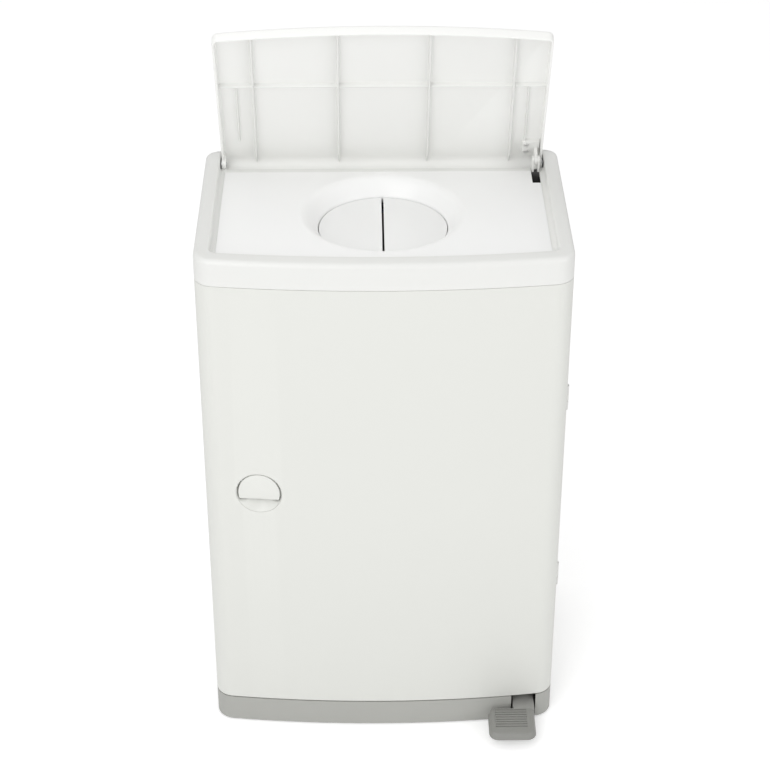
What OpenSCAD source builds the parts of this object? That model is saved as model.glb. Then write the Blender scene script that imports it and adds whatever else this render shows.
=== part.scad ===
// Pedal nappy bin: a casing with a front door, a two-flap funnel, and a lid that the pedal lifts.
// The origin is on the floor, halfway from the tread's tip to the back. The front faces -Y and +Z is up.
// The lid stands open and the pedal is down, so every other piece is drawn to suit that pose.

/* [Casing] */
// Width across the side walls
body_w = 340; // [310:2:410]
// Depth from the foremost point of the front to the back
body_d = 231; // [222:1:280]
// Height from the floor to the top of the rims
body_h = 534; // [460:2:640]
// How far the front bows forward over its width
front_bow = 12; // [8:1:14]
// Radius of the two front corners
front_r = 19; // [15:1:23]
// Radius of the two rear corners
rear_r = 12; // [8:1:16]
// Thickness of the moulded walls
wall = 3; // [2.5:0.25:3.5]
// Height of the base, feet included
base_h = 30; // [30:1:36]
// How far the rubber feet stand out below the base
foot_drop = 1.5; // [1:0.25:2]
// Height of the top frame above the door
top_h = 25.6; // [25:0.2:28]

/* [Top frame and deck] */
// Width of the side rims
rim_w = 14.5; // [13:0.5:16]
// Width of the front lip
lip_w = 17; // [15:0.5:19]
// How far the deck lies below the rims
deck_drop = 9; // [8:0.5:10]
// Distance of the funnel centre from the foremost point of the front
funnel_y = 117.5; // [112:0.5:120]
// Radius of the funnel at the deck
funnel_r = 73; // [71:0.5:75]
// Radius of the closed pair of flaps
flap_r = 59.75; // [57:0.25:61]
// How far the flaps lie below the deck
flap_drop = 16.5; // [14:0.5:18]

/* [Lid] */
// Angle of the lid above its closed place, as it stands
lid_open = 62; // [50:1:70]
// Depth of the lid over its skirt
lid_depth = 10.5; // [9.5:0.25:11]
// Thickness of the lid's panel and skirt
lid_wall = 2.2; // [1.8:0.1:2.6]
// Distance of the hinge axis from the back of the casing
hinge_back = 17; // [16.5:0.5:20]
// Radius of the two hinge pins
hinge_pin_r = 2.5; // [2:0.25:3]
// Distance from the hinge axis to the push rod's pin
crank_r = 18; // [16:0.5:19]
// Angle of the crank above level while the lid is open
crank_angle = 37; // [33:1:39]

/* [Door] */
// How far the door wraps back along the sides
door_wrap = 31; // [29:0.5:34]
// Gap along the seams round the door
seam = 1; // [0.8:0.1:1.4]
// Radius of the door's hinge knuckles
knuckle_r = 2.8; // [2.6:0.1:3]
// Height of each hinge
knuckle_h = 26; // [22:1:30]
// Height of the lower hinge's middle
low_hinge_z = 169; // [150:1:190]
// Height of the upper hinge's middle
high_hinge_z = 375.5; // [340:1:400]

/* [Handle] */
// Distance of the handle to the left of the middle
handle_x = 118.4; // [112:0.4:120]
// Height of the handle's centre
handle_z = 285.5; // [230:1:330]
// Radius of the round handle cup
cup_r = 21.75; // [20:0.25:23]
// Depth of the cup
cup_d = 11; // [10:0.5:12]
// How far the paddle tips when pulled
paddle_swing = 25; // [21:1:26]

/* [Pedal] */
// Distance of the pedal lever in from the right side
pedal_in = 29; // [27:0.5:32]
// Width of the pedal's stem
stem_w = 21.5; // [20:0.5:23]
// Width of the slot in the base
slot_w = 25; // [24:0.5:27]
// Width of the tread
pad_w = 47.2; // [42:0.2:52]
// Length of the tread
pad_l = 41; // [36:1:42]
// How far the tread reaches in front of the casing
pad_reach = 38.5; // [36:0.5:42]
// Distance of the pivot from the foremost point of the front
pivot_y = 64; // [62:1:72]
// Height of the pivot
pivot_z = 18.2; // [18:0.2:19]

/* [Fits] */
// Clearance of a shaft in its hole
run_fit = 0.06; // [0.03:0.01:0.1]
// Gap beside a piece that moves past another
side_gap = 0.6; // [0.4:0.1:0.8]

/* [Hidden] */

$fn = 96;
// Facets of the wide arc along the front
bow_fn = 1440;
// Reach of a cut that runs past what it cuts
past = 1;

white = [0.95, 0.95, 0.93];
grey = [0.68, 0.68, 0.66];
pedal_grey = [0.58, 0.58, 0.56];
steel = [0.75, 0.76, 0.78];
rubber_grey = [0.25, 0.25, 0.26];
film_blue = [0.62, 0.72, 0.82];

half_w = body_w / 2;
pedal_x = half_w - pedal_in;
front_y = (pad_reach - body_d) / 2;
back_y = front_y + body_d;
shell_top = body_h - top_h;
deck_z = body_h - deck_drop;
bow_radius = (half_w * half_w + front_bow * front_bow) / (2 * front_bow);
bow_cy = front_y + bow_radius;

// Place of the front surface at a distance to the side, for a wall inset from it
function front_at(x, inset = 0) = bow_cy - sqrt(pow(bow_radius - inset, 2) - x * x);

// ---- Outlines seen from above ----

// How far the corner circles stand out past the bow, so that the two cross instead of just touching
corner_cross = 0.004;

// Outline with a bowed front, round front corners and round rear corners
module rounded_plan(w, inset, r, back, back_r) {
    arc_r = bow_radius - inset;
    corner_x = w - r;
    corner_y = bow_cy - sqrt(pow(arc_r - r, 2) - corner_x * corner_x) - corner_cross;
    touch_x = corner_x * arc_r / (arc_r - r);
    intersection() {
        translate([0, bow_cy]) circle(arc_r, $fn = bow_fn);
        translate([-touch_x, front_y]) square([2 * touch_x, corner_y + r - front_y]);
    }
    translate([-w, corner_y]) square([2 * w, back - back_r - corner_y]);
    for (side = [-1, 1]) translate([side * corner_x, corner_y]) circle(r);
    if (back_r > 0) {
        translate([back_r - w, corner_y]) square([2 * (w - back_r), back - corner_y]);
        for (side = [-1, 1]) translate([side * (w - back_r), back - back_r]) circle(back_r);
    }
}

// Outline of the casing, drawn in by an even inset
module casing_plan(inset = 0) {
    rounded_plan(half_w - inset, inset, front_r - inset, back_y - inset, max(rear_r - inset, 1));
}

// Everything behind a line across the casing
module behind(y) {
    translate([-body_w, y]) square([2 * body_w, 2 * body_d]);
}

// Everything in front of a line across the casing
module before(y) {
    translate([-body_w, y - 2 * body_d]) square([2 * body_w, 2 * body_d]);
}

module slab(z0, z1) {
    translate([0, 0, z0]) linear_extrude(z1 - z0) children();
}

// Box from its lowest to its highest corner
module block(low, high) {
    translate(low) cube(high - low);
}

// Cylinder along X between two places
module shaft_x(x0, x1, y, z, r) {
    translate([x0, y, z]) rotate([0, 90, 0]) cylinder(h = x1 - x0, r = r);
}

// Cylinder along Y between two places
module shaft_y(y0, y1, x, z, r) {
    translate([x, y0, z]) rotate([-90, 0, 0]) cylinder(h = y1 - y0, r = r);
}

// Upright cylinder between two heights
module shaft_z(z0, z1, x, y, r) {
    translate([x, y, z0]) cylinder(h = z1 - z0, r = r);
}

// Round wire wound as an open coil about +Z, as one closed tube
module coil(coil_r, wire_r, turns, height, rings_per_turn = 10, sides = 6) {
    rings = turns * rings_per_turn;
    lift = atan2(height, turns * 360 * coil_r * PI / 180);
    points = [for (i = [0 : rings]) let (a = i * 360 / rings_per_turn, z = height * i / rings)
              for (k = [0 : sides - 1])
              let (b = k * 360 / sides, out = wire_r * cos(b), up = wire_r * sin(b))
              [(coil_r + out) * cos(a) + up * sin(lift) * sin(a),
               (coil_r + out) * sin(a) - up * sin(lift) * cos(a), z + up * cos(lift)]];
    walls = [for (i = [0 : rings - 1], k = [0 : sides - 1])
             let (n = (k + 1) % sides, low = i * sides, high = low + sides)
             each [[low + k, high + k, high + n], [low + k, high + n, low + n]]];
    start = [for (k = [1 : sides - 2]) [0, k, k + 1]];
    last = rings * sides;
    end = [for (k = [1 : sides - 2]) [last, last + k + 1, last + k]];
    polyhedron(points = points, faces = concat(walls, start, end), convexity = 10);
}

// Pan-headed screw that points up, with its head's underside at the origin
module screw_up(shank_r, length, head_r, head_h) {
    cylinder(h = length, r = shank_r);
    difference() {
        translate([0, 0, -head_h]) cylinder(h = head_h, r = head_r);
        for (turn = [0, 90]) rotate(turn)
            translate([-head_r * 0.6, -head_h * 0.14, -head_h - past])
                cube([head_r * 1.2, head_h * 0.28, past + head_h * 0.5]);
    }
}

// ---- Casing ----

door_back = front_y + door_wrap - seam / 2;
shell_front = front_y + door_wrap + seam / 2;
// The jamb stands forward of the side walls, inside the door's wrap
jamb_gap = 4;
jamb_x = half_w - wall - jamb_gap;
jamb_y = front_y + 19;
jamb_low = base_h + 7;
jamb_high = shell_top - 7.4;
frame_w = 14;
opening_x = jamb_x - wall - frame_w;
opening_low = jamb_low + wall + 10;
opening_high = jamb_high - wall - 8;
door_axis_x = half_w - 1;
door_axis_y = front_y + door_wrap;
door_pin_r = 1.25;
// Round groove that clears the door's edge as it turns
edge_clear_r = 2;

tab = 13;
screw_r = 1.75;
base_screw_x = half_w - 26;
base_screw_front = front_y + 52;
base_screw_back = back_y - 46;
base_screw_spots = [for (x = [-base_screw_x, base_screw_x - 44], y = [base_screw_front, base_screw_back])
                    [x, y]];
top_screw_x = half_w - wall / 2 - tab / 2;
top_screw_front = shell_front + wall + tab / 2 + 6;
top_screw_back = back_y - 80;
top_screw_spots = [for (side = [-1, 1], y = [top_screw_front, top_screw_back]) [side * top_screw_x, y]];

rod_x = half_w - 22.75;
channel_x0 = half_w - 35;
channel_wall = 2;
channel_y0 = back_y - 52;
channel_y1 = back_y - 14;
rod_hole_x0 = channel_x0 + channel_wall + 1;
rod_hole_x1 = half_w - wall - 9;

knuckle_parts = 3;
knuckle_gap = 0.4;

// The three knuckles of one hinge share its height: the outer two are on the casing
function knuckle_low(mid, i) =
    mid - knuckle_h / 2 + i * knuckle_h / knuckle_parts + (i == 1 ? knuckle_gap : 0);
function knuckle_high(mid, i) =
    mid - knuckle_h / 2 + (i + 1) * knuckle_h / knuckle_parts - (i == 1 ? knuckle_gap : 0);

strike_t = 1.2;
strike_z0 = handle_z - 14;
strike_z1 = handle_z + 14;
shelf_ledge_w = 6;
shelf_ledge_t = 4;

// Way through the jamb for the latch bolt, open to the front
module bolt_notch() {
    half = bolt_h / 2 + side_gap;
    block([-opening_x - bolt_reach - side_gap, jamb_y - 2 * wall, handle_z - half],
          [-opening_x + past, jamb_y + wall + past, handle_z + half]);
}

module body_shell() {
    color(white) difference() {
        union() {
            slab(base_h, shell_top) difference() {
                intersection() {
                    casing_plan();
                    behind(shell_front);
                }
                casing_plan(wall);
            }
            slab(base_h, base_h + wall) intersection() {
                casing_plan(wall / 2);
                behind(shell_front);
            }
            slab(base_h, shell_top) intersection() {
                casing_plan();
                behind(shell_front);
                before(shell_front + wall);
            }
            block([-jamb_x, jamb_y, jamb_low], [jamb_x, shell_front + wall, jamb_high]);
            for (spot = top_screw_spots)
                block([spot[0] - tab / 2, spot[1] - tab / 2, shell_top - wall],
                      [spot[0] + tab / 2, spot[1] + tab / 2, shell_top]);
            for (spot = base_screw_spots) shaft_z(base_h, base_h + 12, spot[0], spot[1], 5);
            slab(shelf_z - shelf_t - shelf_ledge_t, shelf_z - shelf_t) difference() {
                intersection() {
                    casing_plan(wall / 2);
                    behind(shell_front + wall / 2);
                }
                translate([-half_w + wall + shelf_ledge_w, front_y])
                    square([2 * (half_w - wall - shelf_ledge_w), body_d - wall - shelf_ledge_w]);
                translate([channel_x0 - 1, channel_y0 - 1]) square([body_w, body_d]);
            }
            for (mid = [low_hinge_z, high_hinge_z], i = [0, 2])
                shaft_z(knuckle_low(mid, i), knuckle_high(mid, i), door_axis_x, door_axis_y, knuckle_r);
        }
        block([wall - jamb_x, jamb_y + wall, jamb_low + wall],
              [jamb_x - wall, shell_front + wall + past, jamb_high - wall]);
        block([-opening_x, jamb_y - past, opening_low], [opening_x, jamb_y + wall + past, opening_high]);
        difference() {
            shaft_z(base_h - past, shell_top + past, door_axis_x, door_axis_y, edge_clear_r);
            for (mid = [low_hinge_z, high_hinge_z], i = [0, 2])
                shaft_z(knuckle_low(mid, i), knuckle_high(mid, i), door_axis_x, door_axis_y, knuckle_r);
        }
        for (mid = [low_hinge_z, high_hinge_z]) {
            shaft_z(knuckle_low(mid, 1) - knuckle_gap, knuckle_high(mid, 1) + knuckle_gap,
                    door_axis_x, door_axis_y, knuckle_r + 0.5);
            shaft_z(mid - knuckle_h, mid + knuckle_h, door_axis_x, door_axis_y, door_pin_r);
        }
        for (spot = top_screw_spots)
            shaft_z(shell_top - 2 * wall, shell_top + past, spot[0], spot[1], screw_r);
        for (spot = base_screw_spots) shaft_z(base_h - past, base_h + 10, spot[0], spot[1], screw_r);
        block([rod_hole_x0, channel_y0 + channel_wall + 1, base_h - past],
              [rod_hole_x1, channel_y1 - channel_wall - 1, base_h + wall + past]);
        block([wall - jamb_x, jamb_y + wall - strike_t, strike_z0],
              [-opening_x + past, jamb_y + wall + past, strike_z1]);
        bolt_notch();
    }
}

module strike_plate() {
    color(steel) difference() {
        block([wall - jamb_x, jamb_y + wall - strike_t, strike_z0],
              [-opening_x, jamb_y + wall, strike_z1]);
        bolt_notch();
    }
}

// ---- Base ----

cover_t = 2.5;
// How far forward of the push rod the base is open above the lever
lever_room = 62;
slot_x0 = pedal_x - slot_w / 2;
slot_x1 = pedal_x + slot_w / 2;

module base_plinth() {
    color(grey) difference() {
        union() {
            slab(foot_drop, base_h) difference() {
                casing_plan();
                casing_plan(wall);
            }
            slab(base_h - wall, base_h) casing_plan(wall / 2);
            for (spot = base_screw_spots)
                shaft_z(foot_drop + cover_t, base_h - wall / 2, spot[0], spot[1], 5);
        }
        block([slot_x0, front_y - past, foot_drop - past], [slot_x1, front_y + 32, base_h + past]);
        block([lever_x0 - 1, rod_top_y - lever_room, base_h - 2 * wall],
              [rod_hole_x1, rod_top_y, base_h + past]);
        block([rod_hole_x0, channel_y0 + channel_wall + 1, base_h - 2 * wall],
              [rod_hole_x1, channel_y1 - channel_wall - 1, base_h + past]);
        for (spot = base_screw_spots) shaft_z(0, base_h + past, spot[0], spot[1], screw_r);
    }
}

cover_gap = 0.3;
foot_r = 9;
foot_in = 24;
foot_spots = [for (x = [-1, 1], y = [front_y + 30 + 4, back_y - foot_in])
              [x * (half_w - foot_in - (x > 0 && y < 0 ? 32 : 0)), y]];

module base_cover() {
    color(grey) difference() {
        slab(foot_drop, foot_drop + cover_t) casing_plan(wall + cover_gap);
        for (spot = base_screw_spots) shaft_z(0, base_h, spot[0], spot[1], screw_r);
        for (spot = foot_spots) shaft_z(foot_drop - past, foot_drop + 1.2, spot[0], spot[1], foot_r);
    }
}

module rubber_feet() {
    color(rubber_grey) for (spot = foot_spots) shaft_z(0, foot_drop + 1.2, spot[0], spot[1], foot_r);
}

// The heads sit against the cover, above the floor that the feet stand on
module base_screws() {
    color(steel) for (spot = base_screw_spots)
        translate([spot[0], spot[1], foot_drop]) screw_up(screw_r, base_h + 8 - foot_drop, 3.4, 1.2);
}

// ---- Top frame and deck ----

recess_x = half_w - rim_w;
recess_r = 6;
rear_band = 5;
lid_axis_y = back_y - hinge_back;
lid_axis_z = deck_z + 1.6;
barrel_gap = 0.9;
trough_r = lid_depth + barrel_gap;
trough_t = 2.5;
ledge_t = 3;
ledge_w = 8;
ledge_back_w = 5;
deck_back = lid_axis_y - trough_r - trough_t;
notch_x0 = rod_x - 4.25;
notch_x1 = rod_x + 4.25;
notch_y0 = lid_axis_y - 39;

module recess_plan(grow = 0, back = back_y - rear_band) {
    rounded_plan(recess_x + grow, lip_w - grow, max(recess_r + grow, 1), back + grow, 0);
}

module notch_cut() {
    block([notch_x0, notch_y0, deck_z - 40], [notch_x1, lid_axis_y - 6, lid_axis_z]);
}

module top_frame() {
    color(white) difference() {
        union() {
            difference() {
                slab(shell_top, body_h) casing_plan();
                slab(shell_top - past, body_h - wall) difference() {
                    casing_plan(wall);
                    recess_plan(wall, back_y);
                }
                slab(shell_top - past, body_h + past) recess_plan();
            }
            slab(deck_z - wall - ledge_t, deck_z - wall) difference() {
                recess_plan(wall / 2, deck_back);
                recess_plan(-ledge_w, deck_back + ledge_w - ledge_back_w);
            }
            intersection() {
                shaft_x(-recess_x - wall / 2, recess_x + wall / 2, lid_axis_y, lid_axis_z,
                        trough_r + trough_t);
                block([-half_w, 0, shell_top], [half_w, back_y - rear_band / 2, deck_z]);
            }
            for (spot = top_screw_spots) intersection() {
                shaft_z(shell_top, body_h - wall / 2, spot[0], spot[1], 4.5);
                slab(shell_top, body_h) casing_plan(wall / 2);
            }
        }
        shaft_x(-recess_x, recess_x, lid_axis_y, lid_axis_z, trough_r);
        for (spot = top_screw_spots) shaft_z(shell_top - past, body_h - 6, spot[0], spot[1], screw_r);
        shaft_x(-recess_x - 7, recess_x + 7, lid_axis_y, lid_axis_z, bush_r);
        notch_cut();
    }
}

module top_screws() {
    color(steel) for (spot = top_screw_spots)
        translate([spot[0], spot[1], shell_top - wall]) screw_up(screw_r, 17, 3.4, 2);
}

deck_t = wall;
deck_gap = 0.3;
throat_wall = 2.5;
throat_r = flap_r + 0.75;
flap_top = deck_z - flap_drop;
flap_t = 2.5;
flap_axis_x = flap_r - 4.75;
flap_axis_z = flap_top - 5.5;
flap_pin_r = 1.5;
flap_barrel_r = 3;
lug_y0 = 13.5;
lug_y1 = 17;
funnel_cy = front_y + funnel_y;

module deck_panel() {
    color(white) difference() {
        union() {
            slab(deck_z - deck_t, deck_z) recess_plan(-deck_gap, deck_back);
            translate([0, funnel_cy]) rotate_extrude($fn = 180) polygon([
                [funnel_r, deck_z], [funnel_r + 3, deck_z], [funnel_r + 3, deck_z - deck_t],
                [funnel_r + 1.5, deck_z - deck_t], [throat_r + throat_wall, flap_top - 1],
                [throat_r + throat_wall, flap_axis_z + 0.5], [throat_r, flap_axis_z + 0.5],
                [throat_r, flap_top + 1.5]]);
            for (side = [-1, 1], end = [-1, 1]) translate([0, funnel_cy]) {
                shaft_y(min(end * lug_y0, end * lug_y1), max(end * lug_y0, end * lug_y1),
                        side * flap_axis_x, flap_axis_z, flap_barrel_r - 0.2);
                block([min(side * flap_axis_x, side * (throat_r + 0.5)), min(end * lug_y0, end * lug_y1),
                       flap_axis_z - flap_barrel_r + 0.2],
                      [max(side * flap_axis_x, side * (throat_r + 0.5)), max(end * lug_y0, end * lug_y1),
                       flap_axis_z + flap_barrel_r - 0.2]);
            }
        }
        translate([0, funnel_cy]) rotate_extrude($fn = 180) polygon([
            [0, deck_z + past],
            [funnel_r + past * (funnel_r - throat_r) / (flap_drop - 1.5), deck_z + past],
            [funnel_r, deck_z], [throat_r, flap_top + 1.5], [throat_r, flap_top - 2], [0, flap_top - 2]]);
        for (side = [-1, 1]) translate([0, funnel_cy])
            shaft_y(-lug_y1 - past, lug_y1 + past, side * flap_axis_x, flap_axis_z, flap_pin_r);
        notch_cut();
    }
}

bush_r = 4.3;
bush_len = 6;

module lid_hinge_pins() {
    color(steel) for (side = [-1, 1])
        shaft_x(min(side * (lid_rear_x - 4.5), side * (recess_x + bush_len)),
                max(side * (lid_rear_x - 4.5), side * (recess_x + bush_len)),
                lid_axis_y, lid_axis_z, hinge_pin_r);
}

module lid_hinge_bushes() {
    color(rubber_grey) difference() {
        for (side = [-1, 1])
            shaft_x(min(side * (recess_x - 0.4), side * (recess_x + bush_len)),
                    max(side * (recess_x - 0.4), side * (recess_x + bush_len)),
                    lid_axis_y, lid_axis_z, bush_r);
        shaft_x(-half_w, half_w, lid_axis_y, lid_axis_z, hinge_pin_r);
    }
}

// ---- Film cartridge under the deck ----

cart_in = 70.5;
cart_out = 80.5;
cart_h = 30;
cart_wall = 1.6;
cap_t = 2;
// The film leaves through this gap at the top of the inner wall
film_gap = 6;
shelf_t = 3;
shelf_z = flap_axis_z - 41;
shelf_gap = 0.4;
collar_gap = 0.4;
collar_t = 1.8;
collar_h = 6;

module cartridge_shelf() {
    color(white) difference() {
        union() {
            slab(shelf_z - shelf_t, shelf_z) intersection() {
                casing_plan(wall + shelf_gap);
                behind(shell_front + wall);
            }
            slab(shelf_z - shelf_t, shelf_z + collar_h) intersection() {
                translate([0, funnel_cy]) difference() {
                    circle(cart_out + collar_gap + collar_t);
                    circle(cart_out + collar_gap);
                }
                behind(shell_front + wall);
            }
            for (x = [-1, 1]) block([x * (half_w - wall - 12) - 4, shell_front + wall + 8, shelf_z - 12],
                                    [x * (half_w - wall - 12) + 4, channel_y0 - 8, shelf_z]);
        }
        shaft_z(shelf_z - 20, shelf_z + past, 0, funnel_cy, cart_in);
        block([channel_x0 - 0.4, channel_y0 - 0.4, shelf_z - 20],
              [half_w, channel_y1 + 0.4, shelf_z + past]);
    }
}

module film_cartridge() {
    color(white) translate([0, funnel_cy, shelf_z]) rotate_extrude($fn = 180) polygon([
        [cart_in, 0], [cart_out, 0], [cart_out, cart_h - cap_t], [cart_out - cart_wall, cart_h - cap_t],
        [cart_out - cart_wall, cart_wall], [cart_in + cart_wall, cart_wall],
        [cart_in + cart_wall, cart_h - film_gap], [cart_in, cart_h - film_gap]]);
}

// The pleated film fills the cartridge
module film_pack() {
    color(film_blue) translate([0, funnel_cy, shelf_z]) rotate_extrude($fn = 180)
        translate([cart_in + cart_wall, cart_wall]) square([cart_out - cart_in - 2 * cart_wall,
                                                            cart_h - film_gap - cart_wall]);
}

module cartridge_cap() {
    color(white) translate([0, funnel_cy, shelf_z]) rotate_extrude($fn = 180) polygon([
        [cart_in + 3, cart_h - cap_t], [cart_out, cart_h - cap_t],
        [cart_out, cart_h], [cart_in + 3, cart_h]]);
}

// ---- Flaps ----

slit = 2;
spring_wire_r = 0.3;

module flap(side) {
    color(white) translate([0, funnel_cy]) difference() {
        union() {
            intersection() {
                shaft_z(flap_top - flap_t, flap_top, 0, 0, flap_r);
                block([min(side * slit / 2, side * flap_r * 2), -flap_r * 2, flap_top - flap_t - past],
                      [max(side * slit / 2, side * flap_r * 2), flap_r * 2, flap_top + past]);
            }
            for (end = [-1, 1]) {
                y0 = min(end * 5, end * (lug_y0 - 0.5));
                y1 = max(end * 5, end * (lug_y0 - 0.5));
                shaft_y(y0, y1, side * flap_axis_x, flap_axis_z, flap_barrel_r);
                block([side * flap_axis_x - 2, y0, flap_axis_z],
                      [side * flap_axis_x + 2, y1, flap_top - flap_t / 2]);
            }
        }
        shaft_y(-lug_y1, lug_y1, side * flap_axis_x, flap_axis_z, flap_pin_r + run_fit);
    }
}

module flap_left() {
    flap(-1);
}

module flap_right() {
    flap(1);
}

module flap_pins() {
    color(steel) for (side = [-1, 1])
        shaft_y(funnel_cy - lug_y1, funnel_cy + lug_y1, side * flap_axis_x, flap_axis_z, flap_pin_r);
}

module flap_springs() {
    color(steel) for (side = [-1, 1])
        translate([side * flap_axis_x, funnel_cy - 4, flap_axis_z]) rotate([-90, 0, 0])
            coil(flap_pin_r + spring_wire_r + 0.15, spring_wire_r, 7, 8);
}

// ---- Lid ----

lid_rear_x = recess_x - 1.3;
lid_front_x = recess_x - 3.2;
lid_lip_gap = 1.5;
lid_front_inset = lip_w + lid_lip_gap;
lid_top = lid_axis_z + lid_depth;
rib_t = 2;
rib_h = 6.2;
main_ribs = [[33.2 - lid_rear_x, 33.8 - lid_front_x], [-41.5, -40.5], [43.5, 42.5],
             [lid_rear_x - 31.7, lid_front_x - 32.8]];
side_ribs = [[18.2 - lid_rear_x, 17.8 - lid_front_x], [lid_rear_x - 17.7, lid_front_x - 17.8]];
cross_rib_at = 114;
side_rib_from = 29;
lug_t = 4;

// Swings what is drawn for the closed lid up to where the lid stands
module stand_open() {
    translate([0, lid_axis_y, lid_axis_z]) rotate([-lid_open, 0, 0])
        translate([0, -lid_axis_y, -lid_axis_z]) children();
}

module lid_plan(inset = 0, back = 0) {
    r = 6 - inset;
    w = lid_front_x - inset;
    fi = lid_front_inset + inset;
    corner_y = bow_cy - sqrt(pow(bow_radius - fi - r, 2) - pow(w - r, 2));
    rounded_plan(w, fi, r, lid_axis_y - back, 0);
    polygon([[-w, corner_y], [w, corner_y], [lid_rear_x - inset, lid_axis_y - back],
             [inset - lid_rear_x, lid_axis_y - back]]);
}

// Rib along the lid: its place is given at the hinge and at the free edge
module long_rib(ends, from, to, h) {
    lid_len = lid_axis_y - front_y - lid_front_inset;
    x0 = ends[0] + (ends[1] - ends[0]) * from / lid_len;
    x1 = ends[0] + (ends[1] - ends[0]) * to / lid_len;
    slab(lid_top - lid_wall - h, lid_top - lid_wall / 2) polygon([
        [x0 - rib_t / 2, lid_axis_y - from], [x0 + rib_t / 2, lid_axis_y - from],
        [x1 + rib_t / 2, lid_axis_y - to], [x1 - rib_t / 2, lid_axis_y - to]]);
}

module lid() {
    free = lid_axis_y - front_y - lid_front_inset - 3;
    color(white) stand_open() difference() {
        union() {
            slab(lid_axis_z, lid_top) difference() {
                lid_plan();
                lid_plan(lid_wall, -past);
            }
            slab(lid_top - lid_wall, lid_top) lid_plan();
            intersection() {
                difference() {
                    shaft_x(-lid_rear_x, lid_rear_x, lid_axis_y, lid_axis_z, lid_depth);
                    shaft_x(lid_wall - lid_rear_x, lid_rear_x - lid_wall, lid_axis_y, lid_axis_z,
                            lid_depth - lid_wall);
                }
                block([-half_w, lid_axis_y, lid_axis_z], [half_w, back_y, lid_top + past]);
            }
            for (side = [-1, 1]) {
                x0 = min(side * lid_rear_x, side * (lid_rear_x - lug_t));
                shaft_x(x0, x0 + lug_t, lid_axis_y, lid_axis_z, 6);
                block([x0, lid_axis_y - 6, lid_axis_z],
                      [x0 + lug_t, lid_axis_y + 4, lid_top - lid_wall / 2]);
            }
            intersection() {
                union() {
                    for (ends = main_ribs) long_rib(ends, 9, free, rib_h);
                    for (ends = side_ribs) long_rib(ends, side_rib_from, cross_rib_at, rib_h * 0.6);
                    block([-lid_rear_x, lid_axis_y - cross_rib_at - rib_t / 2,
                           lid_top - lid_wall - rib_h * 0.6],
                          [lid_rear_x, lid_axis_y - cross_rib_at + rib_t / 2, lid_top - lid_wall / 2]);
                }
                slab(lid_axis_z, lid_top) lid_plan(lid_wall / 2);
            }
        }
        shaft_x(-half_w, half_w, lid_axis_y, lid_axis_z, hinge_pin_r + run_fit);
        for (spot = bracket_screw_spots)
            shaft_z(plate_z - past, plate_z + bracket_bite, spot[0], spot[1], bracket_screw_r);
    }
}

// Place of the crank pin in the closed lid: forward of the hinge and below it
crank_s = crank_r * cos(lid_open - crank_angle);
crank_down = crank_r * sin(lid_open - crank_angle);
crank_pin_r = 1.75;
ear_t = 3;
ear_r = 4.2;
prong_t = 1.9;
plate_y0 = lid_axis_y - 28;
plate_y1 = lid_axis_y - 10;
plate_x0 = rod_x - 13;
plate_x1 = rod_x + 3.5;
plate_z = lid_top - lid_wall;
plate_t = 4.4;
bracket_screw_r = 1.3;
// How far the bracket's screws bite into the lid
bracket_bite = 1.3;
bracket_screw_spots = [for (y = [plate_y0 + 4, plate_y1 - 4]) [plate_x0 + 4, y]];

module crank_bracket() {
    color(white) stand_open() difference() {
        union() {
            block([plate_x0, plate_y0, plate_z - plate_t], [plate_x1, plate_y1, plate_z]);
            intersection() {
                union() {
                    shaft_x(rod_x - ear_t / 2, rod_x + ear_t / 2, lid_axis_y - crank_s,
                            lid_axis_z - crank_down, ear_r);
                    block([rod_x - ear_t / 2, lid_axis_y - crank_s - ear_r, lid_axis_z - crank_down],
                          [rod_x + ear_t / 2, lid_axis_y - crank_s + ear_r, plate_z - plate_t / 2]);
                }
                block([-half_w, front_y, deck_z - 40], [half_w, back_y, lid_top]);
            }
        }
        shaft_x(-half_w, half_w, lid_axis_y - crank_s, lid_axis_z - crank_down, crank_pin_r);
        for (spot = bracket_screw_spots)
            shaft_z(deck_z - 40, plate_z + past, spot[0], spot[1], bracket_screw_r);
    }
}

module bracket_screws() {
    color(steel) stand_open() for (spot = bracket_screw_spots)
        translate([spot[0], spot[1], plate_z - plate_t])
            screw_up(bracket_screw_r, plate_t + bracket_bite, 2.4, 1.1);
}

module crank_pin() {
    color(steel) stand_open() shaft_x(rod_x - ear_t / 2 - prong_t - 0.2, rod_x + ear_t / 2 + prong_t + 0.2,
        lid_axis_y - crank_s, lid_axis_z - crank_down, crank_pin_r);
}

// ---- Push rod ----

rod_top_y = lid_axis_y - crank_r * cos(crank_angle);
rod_top_z = lid_axis_z + crank_r * sin(crank_angle);
rod_stroke = crank_r * (sin(crank_angle) + sin(lid_open - crank_angle));
rod_w = 7.2;
rod_d = 6;
lever_arm = lid_axis_y - crank_r * (1 + cos(crank_angle)) / 2 - front_y - pivot_y;
lever_half = asin(rod_stroke / 2 / lever_arm);
rod_low_z = pivot_z + lever_arm * sin(lever_half);
rod_pin_r = 2;
prong_gap = 0.2;
fork_depth = 12;

module push_rod() {
    color(white) difference() {
        union() {
            block([rod_x - rod_w / 2, rod_top_y - rod_d / 2, rod_low_z],
                  [rod_x + rod_w / 2, rod_top_y + rod_d / 2, rod_top_z]);
            shaft_x(rod_x - rod_w / 2, rod_x + rod_w / 2, rod_top_y, rod_top_z, 3.6);
            shaft_x(rod_x - rod_w / 2, rod_x + rod_w / 2, rod_top_y, rod_low_z, 3.8);
        }
        block([rod_x - ear_t / 2 - prong_gap, rod_top_y - 20, rod_top_z - fork_depth],
              [rod_x + ear_t / 2 + prong_gap, rod_top_y + 20, rod_top_z + 20]);
        shaft_x(rod_x - 20, rod_x + 20, rod_top_y, rod_top_z, crank_pin_r + run_fit);
        shaft_x(rod_x - 20, rod_x + 20, rod_top_y, rod_low_z, rod_pin_r);
    }
}

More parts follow.
